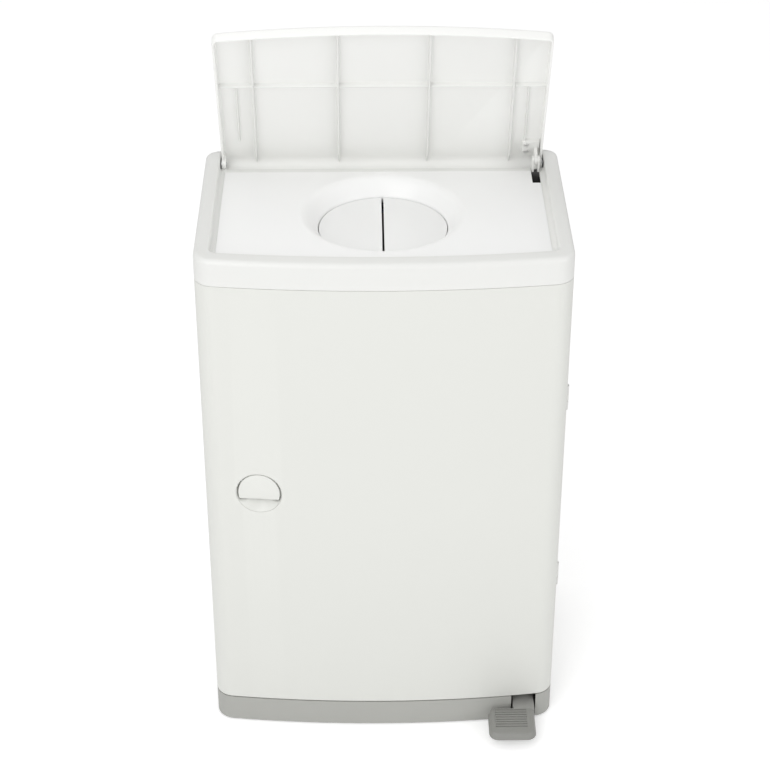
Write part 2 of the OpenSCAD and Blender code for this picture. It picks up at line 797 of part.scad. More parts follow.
cheek_gap = 0.6;
cheek_t = 2.5;

module rod_pin() {
    color(steel) shaft_x(cheek_x0 - 0.5, cheek_x1 + 0.5, rod_top_y, rod_low_z, rod_pin_r);
}

module rod_channel() {
    color(white) difference() {
        block([channel_x0, channel_y0, base_h + wall],
              [half_w - wall - 0.3, channel_y1, deck_z - wall - ledge_t - 0.5]);
        block([channel_x0 + channel_wall, channel_y0 + channel_wall, base_h],
              [half_w, channel_y1 - channel_wall, deck_z]);
        block([recess_x - side_gap, 0, shell_top - side_gap], [half_w, back_y, deck_z]);
        shaft_x(0, half_w, lid_axis_y, lid_axis_z, trough_r + trough_t + 0.5);
    }
}

// ---- Pedal and its lever ----

pivot_cy = front_y + pivot_y;
lever_t = 6;
lever_w = 13;
lever_x0 = pedal_x - lever_w / 2;
lever_front = 30;
pedal_pin_r = 3;
slot_half = 3;
slot_play = 0.5;
cheek_up = 3.8;
// Top of the thin tongue that the pedal's stem sits on
tongue_top = 0.4;
lever_screw_r = 1.5;

// Tips what is drawn level to where the pressed pedal stands
module stand_pressed() {
    translate([0, pivot_cy, pivot_z]) rotate([lever_half, 0, 0])
        translate([0, -pivot_cy, -pivot_z]) children();
}

cheek_x0 = rod_x - rod_w / 2 - cheek_gap - cheek_t;
cheek_x1 = rod_x + rod_w / 2 + cheek_gap + cheek_t;

module pedal_lever() {
    color(steel) stand_pressed() difference() {
        union() {
            block([lever_x0, front_y + lever_front, pivot_z - lever_t / 2],
                  [lever_x0 + lever_w, pivot_cy, pivot_z + tongue_top]);
            block([lever_x0, front_y + stem_back, pivot_z - lever_t / 2],
                  [lever_x0 + lever_w, pivot_cy + lever_arm - 12, pivot_z + lever_t / 2]);
            shaft_x(lever_x0, lever_x0 + lever_w, pivot_cy, pivot_z, 6.5);
            block([cheek_x0, pivot_cy + lever_arm - 18, pivot_z - lever_t / 2],
                  [cheek_x1, pivot_cy + lever_arm + 6, pivot_z + lever_t / 2]);
            for (x = [cheek_x0, cheek_x1 - cheek_t])
                block([x, pivot_cy + lever_arm - 7.5, pivot_z - cheek_up],
                      [x + cheek_t, pivot_cy + lever_arm + 7.5, pivot_z + cheek_up]);
        }
        block([cheek_x0 + cheek_t, pivot_cy + lever_arm - 9, pivot_z - 20],
              [cheek_x1 - cheek_t, pivot_cy + lever_arm + 20, pivot_z + 20]);
        shaft_x(0, half_w, pivot_cy, pivot_z, pedal_pin_r + run_fit);
        for (y = lever_screw_spots)
            shaft_z(pivot_z - lever_t, pivot_z + lever_t, pedal_x, y, lever_screw_r);
        block([cheek_x0 - past, pivot_cy + lever_arm - slot_half, pivot_z - rod_pin_r - slot_play],
              [cheek_x1 + past, pivot_cy + lever_arm + slot_half, pivot_z + rod_pin_r + slot_play]);
        for (dx = [-slot_half, slot_half])
            shaft_x(cheek_x0 - past, cheek_x1 + past, pivot_cy + lever_arm + dx, pivot_z,
                    rod_pin_r + slot_play);
    }
}

stem_up = 3.2;
pad_top = 7.2;
pad_skirt = 7;
pad_r = 9.5;
pad_back_r = 8;
grooves = 8;
groove_pitch = 3.25;
groove_w = 1.4;
groove_deep = 1;
// Distance of the stem's step, where it drops to the lever, from the foremost point of the front
stem_step = 29;
stem_x0 = pedal_x - stem_w / 2;
pad_x1 = stem_x0 + stem_w;
pad_x0 = pad_x1 - pad_w;
pad_y0 = front_y - pad_reach;
stem_back = lever_front + 22;
lever_screw_spots = [for (y = [lever_front + 6, lever_front + 16]) front_y + y];

module pad_plan() {
    back = pad_y0 + pad_l;
    for (x = [pad_x0 + pad_r, pad_x1 - pad_r]) translate([x, pad_y0 + pad_r]) circle(pad_r);
    for (x = [pad_x0 + pad_back_r, pad_x1 - pad_back_r])
        translate([x, back - pad_back_r]) circle(pad_back_r);
    translate([pad_x0 + pad_r, pad_y0]) square([pad_w - 2 * pad_r, pad_l / 2]);
    translate([pad_x0, pad_y0 + pad_r]) square([pad_w, pad_l - pad_r - pad_back_r]);
    translate([pad_x0 + pad_back_r, pad_y0 + pad_r]) square([pad_w - 2 * pad_back_r, pad_l - pad_r]);
}

module pedal() {
    tread_y = pad_y0 + 12.3;
    color(pedal_grey) stand_pressed() difference() {
        union() {
            slab(pivot_z + pad_top - pad_skirt, pivot_z + pad_top) pad_plan();
            block([stem_x0, pad_y0 + pad_l - 10, pivot_z - stem_up],
                  [stem_x0 + stem_w, front_y + stem_back, pivot_z + stem_up]);
            block([stem_x0, pad_y0 + pad_l - 10, pivot_z - stem_up],
                  [stem_x0 + stem_w, front_y + stem_step, pivot_z + pad_top]);
        }
        for (i = [0 : grooves - 1])
            block([pad_x0 + 7, tread_y + i * groove_pitch, pivot_z + pad_top - groove_deep],
                  [pad_x1 - 8.5, tread_y + i * groove_pitch + groove_w, pivot_z + pad_top + past]);
        block([lever_x0, front_y + lever_front, pivot_z - 10],
              [lever_x0 + lever_w, front_y + stem_back + past, pivot_z + tongue_top]);
        for (y = lever_screw_spots) shaft_z(pivot_z - 10, pivot_z + stem_up - 1, pedal_x, y, lever_screw_r);
    }
}

module lever_screws() {
    color(steel) stand_pressed() for (y = lever_screw_spots)
        translate([pedal_x, y, pivot_z - lever_t / 2])
            screw_up(lever_screw_r, lever_t / 2 + stem_up - 1.4, 2.6, 1);
}

bearing_t = 5;
bearing_x0 = lever_x0 - 1 - bearing_t;
bearing_x1 = lever_x0 + lever_w + 1 + bearing_t;

module pedal_bearing() {
    color(grey) difference() {
        for (x = [bearing_x0, bearing_x1 - bearing_t])
            block([x, pivot_cy - 9, foot_drop + cover_t], [x + bearing_t, pivot_cy + 9, base_h - wall]);
        shaft_x(0, half_w, pivot_cy, pivot_z, pedal_pin_r);
    }
}

module pedal_pin() {
    color(steel) shaft_x(bearing_x0 - 1.5, bearing_x1 + 1.5, pivot_cy, pivot_z, pedal_pin_r);
}

// ---- Door ----

door_low = base_h + seam;
door_high = shell_top - seam;
door_rib_x = opening_x + 6;
door_rib_low = opening_low - 6;
door_rib_high = opening_high + 6;
seal_t = 3.5;
seal_gap = 0.4;

module door() {
    color(white) difference() {
        union() {
            slab(door_low, door_high) difference() {
                intersection() {
                    casing_plan();
                    before(door_back);
                }
                casing_plan(wall);
            }
            for (z = [door_low, door_high - wall]) slab(z, z + wall) intersection() {
                difference() {
                    casing_plan(wall / 2);
                    translate([-jamb_x - 2, jamb_y - 3]) square([2 * jamb_x + 4, body_d]);
                }
                before(door_back);
            }
            intersection() {
                slab(door_rib_low, door_rib_high) casing_plan(wall / 2);
                difference() {
                    block([-door_rib_x, front_y, door_rib_low],
                          [door_rib_x, jamb_y - seal_t - seal_gap, door_rib_high]);
                    block([2 - door_rib_x, front_y - past, door_rib_low + 2],
                          [door_rib_x - 2, jamb_y, door_rib_high - 2]);
                }
            }
            for (mid = [low_hinge_z, high_hinge_z])
                shaft_z(knuckle_low(mid, 1), knuckle_high(mid, 1), door_axis_x, door_axis_y, knuckle_r);
            for (z = housing_screw_z)
                shaft_y(front_at(handle_x) + wall / 2, ear_plate_y, -handle_x, z, screw_boss_r);
        }
        for (z = housing_screw_z)
            shaft_y(front_at(handle_x) + wall, ear_plate_y + past, -handle_x, z, housing_screw_r);
        for (mid = [low_hinge_z, high_hinge_z]) {
            for (i = [0, 2]) difference() {
                shaft_z(knuckle_low(mid, i) - knuckle_gap, knuckle_high(mid, i) + knuckle_gap,
                        door_axis_x, door_axis_y, knuckle_r + 0.5);
                shaft_z(knuckle_low(mid, 1), knuckle_high(mid, 1), door_axis_x, door_axis_y,
                        knuckle_r + past);
            }
            shaft_z(mid - knuckle_h, mid + knuckle_h, door_axis_x, door_axis_y, door_pin_r + run_fit);
        }
        at_handle() shaft_y(-10, 12, 0, 0, cup_r);
    }
}

module door_hinge_pins() {
    color(steel) for (mid = [low_hinge_z, high_hinge_z])
        shaft_z(mid - knuckle_h / 2 - 0.5, mid + knuckle_h / 2 + 0.5, door_axis_x, door_axis_y, door_pin_r);
}

module door_seal() {
    color([0.8, 0.8, 0.8]) difference() {
        block([-door_rib_x - 3, jamb_y - seal_t, door_rib_low - 3],
              [door_rib_x + 3, jamb_y, door_rib_high + 3]);
        block([5 - door_rib_x, jamb_y - 10, door_rib_low + 5],
              [door_rib_x - 5, jamb_y + past, door_rib_high - 5]);
        bolt_notch();
    }
}

// ---- Handle and latch ----

// Frame of the handle: its centre is on the bowed front, and -Y points out of the door
handle_turn = -asin(handle_x / bow_radius);
module at_handle() {
    translate([-handle_x, front_at(handle_x), handle_z]) rotate([0, 0, handle_turn]) children();
}

cup_wall = 1.6;
cup_flange = 1.5;
paddle_gap = 1.2;
paddle_r = cup_r - cup_wall - paddle_gap;
paddle_flat = 6.7;
paddle_t = 2.6;
paddle_axis_y = 3;
paddle_axis_z = 12;
paddle_pin_r = 1.25;
paddle_ear_x = 10;
paddle_ear_t = 2.5;
paddle_ear_r = 2.4;
tail_x = -3;
tail_w = 5;
finger_r = 2;

bolt_t = 3;
bolt_h = 16;
bolt_reach = 5;
bolt_throw = 6.5;
bolt_gap = 0.5;
bolt_y0 = jamb_y + wall + bolt_gap;
bolt_y1 = bolt_y0 + bolt_t;
bolt_back_x = 12;
bolt_tab_x0 = -15;
bolt_tab_x1 = 8;
bolt_tab_z = 17;
finger_len = (bolt_y1 + 1 - front_at(handle_x) - paddle_axis_y) / cos(paddle_swing);
// Height that the finger drops in the middle of the bolt while the paddle swings
finger_drop = ((bolt_y0 + bolt_y1) / 2 - front_at(handle_x) - paddle_axis_y) * tan(paddle_swing);
cam_play = 1.1;
finger_x = tail_x * cos(handle_turn) - ((bolt_y0 + bolt_y1) / 2 - front_at(handle_x)) * sin(handle_turn)
           - handle_x;

housing_wall = 2;
housing_gap = 0.7;
housing_side = cup_r + cup_flange + housing_gap + housing_wall;
housing_end = housing_side;
housing_half_h = housing_side;
housing_x0 = -handle_x - housing_side;
housing_x1 = housing_end - handle_x;
housing_back = front_at(handle_x) + paddle_axis_y + finger_len + 3;
ear_h = 9;
// The door's bosses for the housing's screws stay clear of the housing
screw_boss_r = ear_h / 2 - 1.3;
ear_plate_y = jamb_y - 1.5;
ear_plate_t = 2;
housing_screw_r = 1.5;
housing_screw_z = [for (side = [-1, 1]) handle_z + side * (housing_half_h + ear_h / 2 - 1)];

module handle_cup() {
    color(white) at_handle() difference() {
        union() {
            shaft_y(0.3, cup_d, 0, 0, cup_r);
            shaft_y(wall + 0.4, wall + 2, 0, 0, cup_r + cup_flange);
        }
        shaft_y(-past, cup_d - cup_wall, 0, 0, cup_r - cup_wall);
        shaft_x(-cup_r + 0.6, cup_r - 0.6, paddle_axis_y, paddle_axis_z, paddle_pin_r);
        block([tail_x - tail_w / 2 - side_gap, cup_d - cup_wall - past, paddle_axis_z - tail_w / 2 - 5],
              [tail_x + tail_w / 2 + side_gap, cup_d + past, paddle_axis_z + tail_w / 2 + side_gap]);
    }
}

module paddle_pin() {
    pin_half = sqrt(pow(cup_r - 0.6, 2) - pow(paddle_axis_z + paddle_pin_r, 2));
    color(steel) at_handle() shaft_x(-pin_half, pin_half, paddle_axis_y, paddle_axis_z, paddle_pin_r);
}

module handle_paddle() {
    color(white) at_handle() difference() {
        union() {
            intersection() {
                shaft_y(0, paddle_t, 0, 0, paddle_r);
                block([-cup_r, -past, -paddle_flat], [cup_r, cup_d, cup_r]);
            }
            for (x = [-paddle_ear_x, paddle_ear_x - paddle_ear_t]) {
                shaft_x(x, x + paddle_ear_t, paddle_axis_y, paddle_axis_z, paddle_ear_r);
                block([x, paddle_t / 2, paddle_axis_z - paddle_ear_r],
                      [x + paddle_ear_t, paddle_axis_y, paddle_axis_z + paddle_ear_r]);
            }
            block([tail_x - tail_w / 2, paddle_t / 2, paddle_axis_z - tail_w / 2],
                  [tail_x + tail_w / 2, cup_d + 2, paddle_axis_z + tail_w / 2]);
            shaft_y(cup_d, paddle_axis_y + finger_len, tail_x, paddle_axis_z, finger_r);
        }
        shaft_x(-cup_r, cup_r, paddle_axis_y, paddle_axis_z, paddle_pin_r + run_fit);
    }
}

module latch_housing() {
    color(white) difference() {
        union() {
            intersection() {
                slab(handle_z - housing_half_h, handle_z + housing_half_h) casing_plan(wall);
                block([housing_x0, front_y, 0], [housing_x1, housing_back, body_h]);
            }
            for (z = housing_screw_z)
                block([-handle_x - 6, ear_plate_y, z - ear_h / 2],
                      [6 - handle_x, ear_plate_y + ear_plate_t, z + ear_h / 2]);
        }
        block([housing_x0 + housing_wall, front_y, handle_z - housing_half_h + housing_wall],
              [housing_x1 - housing_wall, bolt_y0 - bolt_gap - housing_wall,
               handle_z + housing_half_h - housing_wall]);
        block([housing_x0 - past, bolt_y0 - bolt_gap, handle_z - bolt_h / 2 - bolt_gap],
              [housing_x1 - housing_wall, bolt_y1 + bolt_gap, handle_z + bolt_h / 2 + bolt_gap]);
        block([bolt_tab_x0 - handle_x - 1, bolt_y0 - bolt_gap, handle_z],
              [bolt_tab_x1 - handle_x + bolt_throw + 1, bolt_y1 + bolt_gap,
               handle_z + bolt_tab_z + bolt_gap]);
        block([finger_x - finger_r - 2, bolt_y0 - 8, handle_z + paddle_axis_z - finger_drop - finger_r - 3],
              [finger_x + finger_r + 2, housing_back - 1.5, handle_z + paddle_axis_z + finger_r + 2]);
        for (z = housing_screw_z) shaft_y(ear_plate_y - past, housing_back, -handle_x, z, housing_screw_r);
    }
}

// The finger runs down this slanted slot and draws the bolt back
module cam_slot() {
    slant = atan2(finger_drop, bolt_throw);
    reach = sqrt(pow(finger_drop, 2) + pow(bolt_throw, 2));
    translate([finger_x, bolt_y0 - past, handle_z + paddle_axis_z]) rotate([0, 180 - slant, 0]) {
        translate([0, 0, -finger_r - cam_play]) cube([reach, bolt_t + 2 * past, 2 * (finger_r + cam_play)]);
        for (x = [0, reach]) shaft_y(0, bolt_t + 2 * past, x, 0, finger_r + cam_play);
    }
}

module latch_bolt() {
    color(steel) difference() {
        union() {
            block([-opening_x - bolt_reach, bolt_y0, handle_z - bolt_h / 2],
                  [bolt_back_x - handle_x, bolt_y1, handle_z + bolt_h / 2]);
            block([bolt_tab_x0 - handle_x, bolt_y0, handle_z],
                  [bolt_tab_x1 - handle_x, bolt_y1, handle_z + bolt_tab_z]);
        }
        cam_slot();
    }
}

module latch_spring() {
    color(steel) translate([bolt_back_x - handle_x + 0.35, (bolt_y0 + bolt_y1) / 2, handle_z])
        rotate([0, 90, 0]) coil(1.6, 0.3, 7, housing_end - housing_wall - bolt_back_x - 0.7);
}

module housing_screws() {
    color(steel) for (z = housing_screw_z)
        translate([-handle_x, ear_plate_y + ear_plate_t, z])
            rotate([90, 0, 0]) screw_up(housing_screw_r, 6, 2.8, 1.4);
}

// ---- Film cutter on the inside of the door ----

cutter_x = 62;
cutter_z = 418;
cutter_w = 44;
cutter_h = 20;
cutter_d = 9;
cutter_mouth = 2.4;

module film_cutter() {
    mouth_y = front_at(cutter_x, wall) + cutter_d / 2;
    color(white) difference() {
        intersection() {
            slab(cutter_z - cutter_h / 2, cutter_z + cutter_h / 2) casing_plan(wall);
            block([cutter_x - cutter_w / 2, front_y, 0],
                  [cutter_x + cutter_w / 2, front_at(cutter_x, wall) + cutter_d, body_h]);
        }
        block([cutter_x - cutter_w / 2 - past, mouth_y - cutter_mouth / 2, 0],
              [cutter_x + cutter_w / 2 - 8, mouth_y + cutter_mouth / 2, body_h]);
    }
}

module cutter_blade() {
    mouth_y = front_at(cutter_x, wall) + cutter_d / 2;
    color(steel) block([cutter_x + cutter_w / 2 - 14, mouth_y - cutter_mouth / 2, cutter_z - 0.3],
                       [cutter_x + cutter_w / 2 - 8, mouth_y + cutter_mouth / 2, cutter_z + 0.3]);
}

body_shell();
base_plinth();
base_cover();
rubber_feet();
base_screws();
top_frame();
top_screws();
deck_panel();
lid_hinge_pins();
lid_hinge_bushes();
cartridge_shelf();
film_cartridge();
film_pack();
cartridge_cap();
flap_pins();
flap_springs();
rod_channel();
pedal_bearing();
pedal_pin();
door_hinge_pins();
door_seal();
strike_plate();
lid();
crank_bracket();
bracket_screws();
crank_pin();
push_rod();
rod_pin();
pedal();
pedal_lever();
lever_screws();
door();
handle_cup();
latch_housing();
housing_screws();
paddle_pin();
latch_spring();
film_cutter();
cutter_blade();
handle_paddle();
latch_bolt();
flap_left();
flap_right();
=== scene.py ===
import math

import bmesh
import bpy
from mathutils import Matrix, Vector


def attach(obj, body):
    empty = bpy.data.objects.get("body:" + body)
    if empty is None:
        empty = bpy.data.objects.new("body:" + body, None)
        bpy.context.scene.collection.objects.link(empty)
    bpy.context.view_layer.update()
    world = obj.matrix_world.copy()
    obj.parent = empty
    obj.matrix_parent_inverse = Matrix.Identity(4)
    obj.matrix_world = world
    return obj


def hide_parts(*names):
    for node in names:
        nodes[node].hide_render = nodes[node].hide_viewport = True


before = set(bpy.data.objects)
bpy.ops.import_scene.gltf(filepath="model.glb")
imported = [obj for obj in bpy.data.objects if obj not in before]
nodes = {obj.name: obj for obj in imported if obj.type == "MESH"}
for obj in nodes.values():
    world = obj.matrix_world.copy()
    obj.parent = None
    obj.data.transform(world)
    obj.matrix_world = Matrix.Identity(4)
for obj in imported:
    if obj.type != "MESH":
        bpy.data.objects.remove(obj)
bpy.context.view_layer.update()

# ---------------------------------------------------------------------------
# Base: the light grey plinth that the bin stands on, with its closing plate, rubber feet and screws.
# Injection-moulded plastic with a fine satin grain. Four long screws hold plate, plinth and casing.
# ---------------------------------------------------------------------------


def moulded_plastic(name, colour, gloss, mottle=0.012, grain=0.02, wear=0.03):
    """Moulded plastic: faint flow marks in the colour, uneven sheen, a fine grain and paler rubbed edges."""
    material = bpy.data.materials.new(name)
    material.use_nodes = True
    tree = material.node_tree
    shader = tree.nodes["Principled BSDF"]
    place = tree.nodes.new("ShaderNodeTexCoord")

    flow = tree.nodes.new("ShaderNodeTexNoise")
    flow.inputs["Scale"].default_value = 9.0
    flow.inputs["Detail"].default_value = 3.0
    tree.links.new(place.outputs["Object"], flow.inputs["Vector"])
    tint = tree.nodes.new("ShaderNodeValToRGB")
    tint.color_ramp.elements[0].position = 0.30
    tint.color_ramp.elements[1].position = 0.70
    dark = [max(c - mottle, 0.0) for c in colour]
    light = [min(c + mottle, 1.0) for c in colour]
    tint.color_ramp.elements[0].color = (*dark, 1.0)
    tint.color_ramp.elements[1].color = (*light, 1.0)
    tree.links.new(flow.outputs["Fac"], tint.inputs["Fac"])

    edges = tree.nodes.new("ShaderNodeNewGeometry")
    edge_ramp = tree.nodes.new("ShaderNodeValToRGB")
    edge_ramp.color_ramp.elements[0].position = 0.53
    edge_ramp.color_ramp.elements[1].position = 0.62
    edge_ramp.color_ramp.elements[0].color = (0.0, 0.0, 0.0, 1.0)
    edge_ramp.color_ramp.elements[1].color = (wear, wear, wear, 1.0)
    tree.links.new(edges.outputs["Pointiness"], edge_ramp.inputs["Fac"])
    rubbed = tree.nodes.new("ShaderNodeMix")
    rubbed.data_type = "RGBA"
    rubbed.blend_type = "ADD"
    rubbed.inputs["Factor"].default_value = 1.0
    tree.links.new(tint.outputs["Color"], rubbed.inputs["A"])
    tree.links.new(edge_ramp.outputs["Color"], rubbed.inputs["B"])
    tree.links.new(rubbed.outputs["Result"], shader.inputs["Base Color"])

    sheen_patches = tree.nodes.new("ShaderNodeTexNoise")
    sheen_patches.inputs["Scale"].default_value = 25.0
    sheen_patches.inputs["Detail"].default_value = 4.0
    tree.links.new(place.outputs["Object"], sheen_patches.inputs["Vector"])
    sheen_range = tree.nodes.new("ShaderNodeMapRange")
    sheen_range.inputs["To Min"].default_value = gloss - 0.02
    sheen_range.inputs["To Max"].default_value = gloss + 0.03
    tree.links.new(sheen_patches.outputs["Fac"], sheen_range.inputs["Value"])
    tree.links.new(sheen_range.outputs["Result"], shader.inputs["Roughness"])

    pores = tree.nodes.new("ShaderNodeTexNoise")
    pores.inputs["Scale"].default_value = 1800.0
    pores.inputs["Detail"].default_value = 2.0
    tree.links.new(place.outputs["Object"], pores.inputs["Vector"])
    relief = tree.nodes.new("ShaderNodeBump")
    relief.inputs["Strength"].default_value = grain
    relief.inputs["Distance"].default_value = 0.0002
    tree.links.new(pores.outputs["Fac"], relief.inputs["Height"])
    tree.links.new(relief.outputs["Normal"], shader.inputs["Normal"])
    shader.inputs["IOR"].default_value = 1.5
    return material


def finish_with(material, *names):
    """Gives CAD nodes a material, and shades them smooth except over their real edges."""
    for name in names:
        mesh = nodes[name].data
        mesh.shade_smooth()
        mesh.set_sharp_from_angle(angle=math.radians(28))
        if not mesh.materials:
            mesh.materials.append(material)
        for place in range(len(mesh.materials)):
            mesh.materials[place] = material


def ease_edges(width, *names):
    """Rounds the sharp edges of CAD nodes by a fraction of a millimetre, as a mould does."""
    for name in names:
        merge = nodes[name].modifiers.new("flat faces", "DECIMATE")
        merge.decimate_type = "DISSOLVE"
        merge.angle_limit = math.radians(0.3)
        rounding = nodes[name].modifiers.new("eased edges", "BEVEL")
        rounding.width = width
        rounding.segments = 2
        rounding.limit_method = "ANGLE"
        rounding.angle_limit = math.radians(50)
        rounding.use_clamp_overlap = False
        rounding.harden_normals = True


base_plastic = moulded_plastic("base_grey_plastic", (0.389, 0.391, 0.366), 0.42, mottle=0.006)
finish_with(base_plastic, "base_plinth", "base_cover", "pedal_bearing")

foot_rubber = moulded_plastic("foot_rubber", (0.05, 0.05, 0.052), 0.75, mottle=0.008, grain=0.25, wear=0.02)
finish_with(foot_rubber, "rubber_feet")


def plated_steel(name, colour, gloss):
    """Zinc-plated steel: fine drawn lines and a crystalline patchiness in colour and sheen."""
    material = bpy.data.materials.new(name)
    material.use_nodes = True
    tree = material.node_tree
    shader = tree.nodes["Principled BSDF"]
    place = tree.nodes.new("ShaderNodeTexCoord")
    crystals = tree.nodes.new("ShaderNodeTexVoronoi")
    crystals.inputs["Scale"].default_value = 260.0
    tree.links.new(place.outputs["Object"], crystals.inputs["Vector"])
    tint = tree.nodes.new("ShaderNodeValToRGB")
    tint.color_ramp.elements[0].color = (*[c * 0.86 for c in colour], 1.0)
    tint.color_ramp.elements[1].color = (*colour, 1.0)
    tree.links.new(crystals.outputs["Distance"], tint.inputs["Fac"])
    tree.links.new(tint.outputs["Color"], shader.inputs["Base Color"])
    lines = tree.nodes.new("ShaderNodeTexNoise")
    lines.inputs["Scale"].default_value = 900.0
    tree.links.new(place.outputs["Object"], lines.inputs["Vector"])
    sheen_range = tree.nodes.new("ShaderNodeMapRange")
    sheen_range.inputs["To Min"].default_value = gloss - 0.08
    sheen_range.inputs["To Max"].default_value = gloss + 0.10
    tree.links.new(lines.outputs["Fac"], sheen_range.inputs["Value"])
    tree.links.new(sheen_range.outputs["Result"], shader.inputs["Roughness"])
    shader.inputs["Metallic"].default_value = 1.0
    return material


zinc = plated_steel("zinc_plate", (0.62, 0.63, 0.65), 0.34)
finish_with(zinc, "base_screws", "top_screws")

# ---------------------------------------------------------------------------
# Casing: one white moulding of side walls, back, floor and the jamb round the door opening.
# The walls are 3 mm thick. The door's hinge knuckles are moulded on its right front edge.
# ---------------------------------------------------------------------------

casing_white = moulded_plastic("casing_white_plastic", (0.755, 0.757, 0.732), 0.34, mottle=0.003)
finish_with(casing_white, "body_shell", "cartridge_shelf", "film_cartridge", "cartridge_cap")
# The rod channel is coloured near-black as painted shade, standing for the deep shade seen down the crank
# notch.
painted_shade_black = moulded_plastic("painted_shade_black_plastic", (0.035, 0.035, 0.036), 0.5, mottle=0.006)
finish_with(painted_shade_black, "rod_channel")

seal_foam = moulded_plastic("seal_foam", (0.50, 0.50, 0.49), 0.85, mottle=0.03, grain=0.6, wear=0.0)
finish_with(seal_foam, "door_seal")
finish_with(zinc, "door_hinge_pins", "strike_plate")

# ---------------------------------------------------------------------------
# Top frame: the white rim round the recess that the lid shuts into, screwed down on the casing.
# Its outer edge is well rounded, and inside it sweeps down to the deck in a small cove.
# ---------------------------------------------------------------------------

HALF_WIDTH = 0.170
FRONT = -0.09625
BACK = 0.13475
BOW = 0.012
FRONT_CORNER = 0.019
REAR_CORNER = 0.012
FRONT_POINTS = 57
CORNER_POINTS = 12
TOP = 0.534
FRAME_LOW = 0.5084
DECK = 0.525
DECK_UNDER = DECK - 0.003
RIM = 0.0145
LIP = 0.017
RECESS_CORNER = 0.006
RECESS_BACK = BACK - 0.005
HINGE_Y = 0.11775
HINGE_Z = 0.5266

bow_radius = (HALF_WIDTH ** 2 + BOW ** 2) / (2 * BOW)
bow_middle = FRONT + bow_radius


def outline(half_width, inset, corner, back, back_corner):
    """Plan of the bin: a bowed front, round front corners, straight sides and round rear corners."""
    arc = bow_radius - inset
    corner_x = half_width - corner
    corner_y = bow_middle - math.sqrt((arc - corner) ** 2 - corner_x ** 2)
    meet = math.atan2(corner_x, bow_middle - corner_y)
    points = []
    for i in range(FRONT_POINTS):
        turn = meet * (2 * i / (FRONT_POINTS - 1) - 1)
        points.append((arc * math.sin(turn), bow_middle - arc * math.cos(turn)))
    right = []
    for i in range(1, CORNER_POINTS + 1):
        turn = meet + (math.pi / 2 - meet) * i / CORNER_POINTS
        right.append((corner_x + corner * math.sin(turn), corner_y - corner * math.cos(turn)))
    rear_y = back - back_corner
    rear_x = half_width - back_corner
    for i in range(1, 41):
        right.append((half_width, corner_y + (rear_y - corner_y) * i / 40))
    for i in range(1, 9):
        turn = math.pi / 2 * (1 + i / 8)
        right.append((rear_x + back_corner * math.sin(turn), rear_y - back_corner * math.cos(turn)))
    rear = [(rear_x * (1 - i / 20), back) for i in range(1, 40)]
    left = [(-x, y) for x, y in reversed(right)]
    return points + right + rear + left


def loft(name, rings, ends=False):
    """Skin through rings of as many points each. With ends the first and last ring are closed flat,
    and otherwise the last ring joins the first."""
    mesh = bpy.data.meshes.new(name)
    build = bmesh.new()
    rows = [[build.verts.new(point) for point in ring] for ring in rings]
    count = len(rows[0])
    pairs = list(zip(rows, rows[1:]))
    if not ends:
        pairs.append((rows[-1], rows[0]))
    for low, high in pairs:
        for i in range(count):
            j = (i + 1) % count
            build.faces.new((low[i], low[j], high[j], high[i]))
    if ends:
        build.faces.new(list(reversed(rows[0])))
        build.faces.new(rows[-1])
    bmesh.ops.recalc_face_normals(build, faces=build.faces)
    build.to_mesh(mesh)
    build.free()
    piece = bpy.data.objects.new(name, mesh)
    bpy.context.scene.collection.objects.link(piece)
    return piece


def along_x(name, profile, *places):
    """A bar of one profile, drawn in Y and Z, that runs through the given places in X."""
    return loft(name, [[Vector((x, y, z)) for y, z in profile] for x in places], ends=True)


def circle(centre_a, centre_b, radius, count):
    turns = [math.tau * i / count for i in range(count)]
    return [(centre_a + radius * math.cos(turn), centre_b + radius * math.sin(turn)) for turn in turns]


def smooth(piece, sharp_over=32):
    piece.data.shade_smooth()
    piece.data.set_sharp_from_angle(angle=math.radians(sharp_over))


def at_height(plan, z):
    return [Vector((x, y, z)) for x, y in plan]


def outer_ring(inset, z):
    rear_corner = max(REAR_CORNER - inset, 0.002)
    return at_height(outline(HALF_WIDTH - inset, inset, FRONT_CORNER - inset, BACK - inset, rear_corner), z)


def recess_ring(grow, z):
    """Ring round the recess, let out by so much."""
    corner = max(RECESS_CORNER + grow, 0.001)
    return at_height(outline(HALF_WIDTH - RIM + grow, LIP - grow, corner, RECESS_BACK + grow, 0.0015), z)


def cove_ring(foot, z):
    """Ring of the cove: the recess drawn in by its foot along the lip and the rims."""
    corner = max(RECESS_CORNER - foot, 0.0012)
    plan = outline(HALF_WIDTH - RIM - foot, LIP + foot, corner, RECESS_BACK, 0.0015)
    wide = outline(HALF_WIDTH - RIM, LIP, RECESS_CORNER, RECESS_BACK, 0.0015)
    ring = []
    for (x, y), (wide_x, wide_y) in zip(plan, wide):
        away = min(max((wide_y - (HINGE_Y - 0.0135)) / 0.005, 0.0), 1.0)
        ring.append(Vector((x + (wide_x - x) * away, y + (wide_y - y) * away, z)))
    return ring


EDGE = 0.0048
COVE = 0.0045
LIP_ROUND = 0.0022
FRAME_WALL = 0.003
FRAME_UNDER = TOP - 0.004
RECESS_WALL = 0.0025
FRAME_SKIRT = FRAME_LOW - 0.0005
frame_rings = [outer_ring(FRAME_WALL, FRAME_SKIRT), outer_ring(0.0003, FRAME_SKIRT),
               outer_ring(0.0, FRAME_SKIRT + 0.0003), outer_ring(0.0, TOP - EDGE - 0.004),
               outer_ring(0.0, TOP - EDGE)]
for i in range(1, 9):
    turn = math.pi / 2 * i / 8
    frame_rings.append(outer_ring(EDGE * (1 - math.cos(turn)), TOP - EDGE + EDGE * math.sin(turn)))
for i in range(0, 7):
    turn = math.pi / 2 * i / 6
    frame_rings.append(recess_ring(LIP_ROUND * (1 - math.sin(turn)), TOP - LIP_ROUND * (1 - math.cos(turn))))
frame_rings.append(recess_ring(0.0, DECK + COVE + 0.0005))
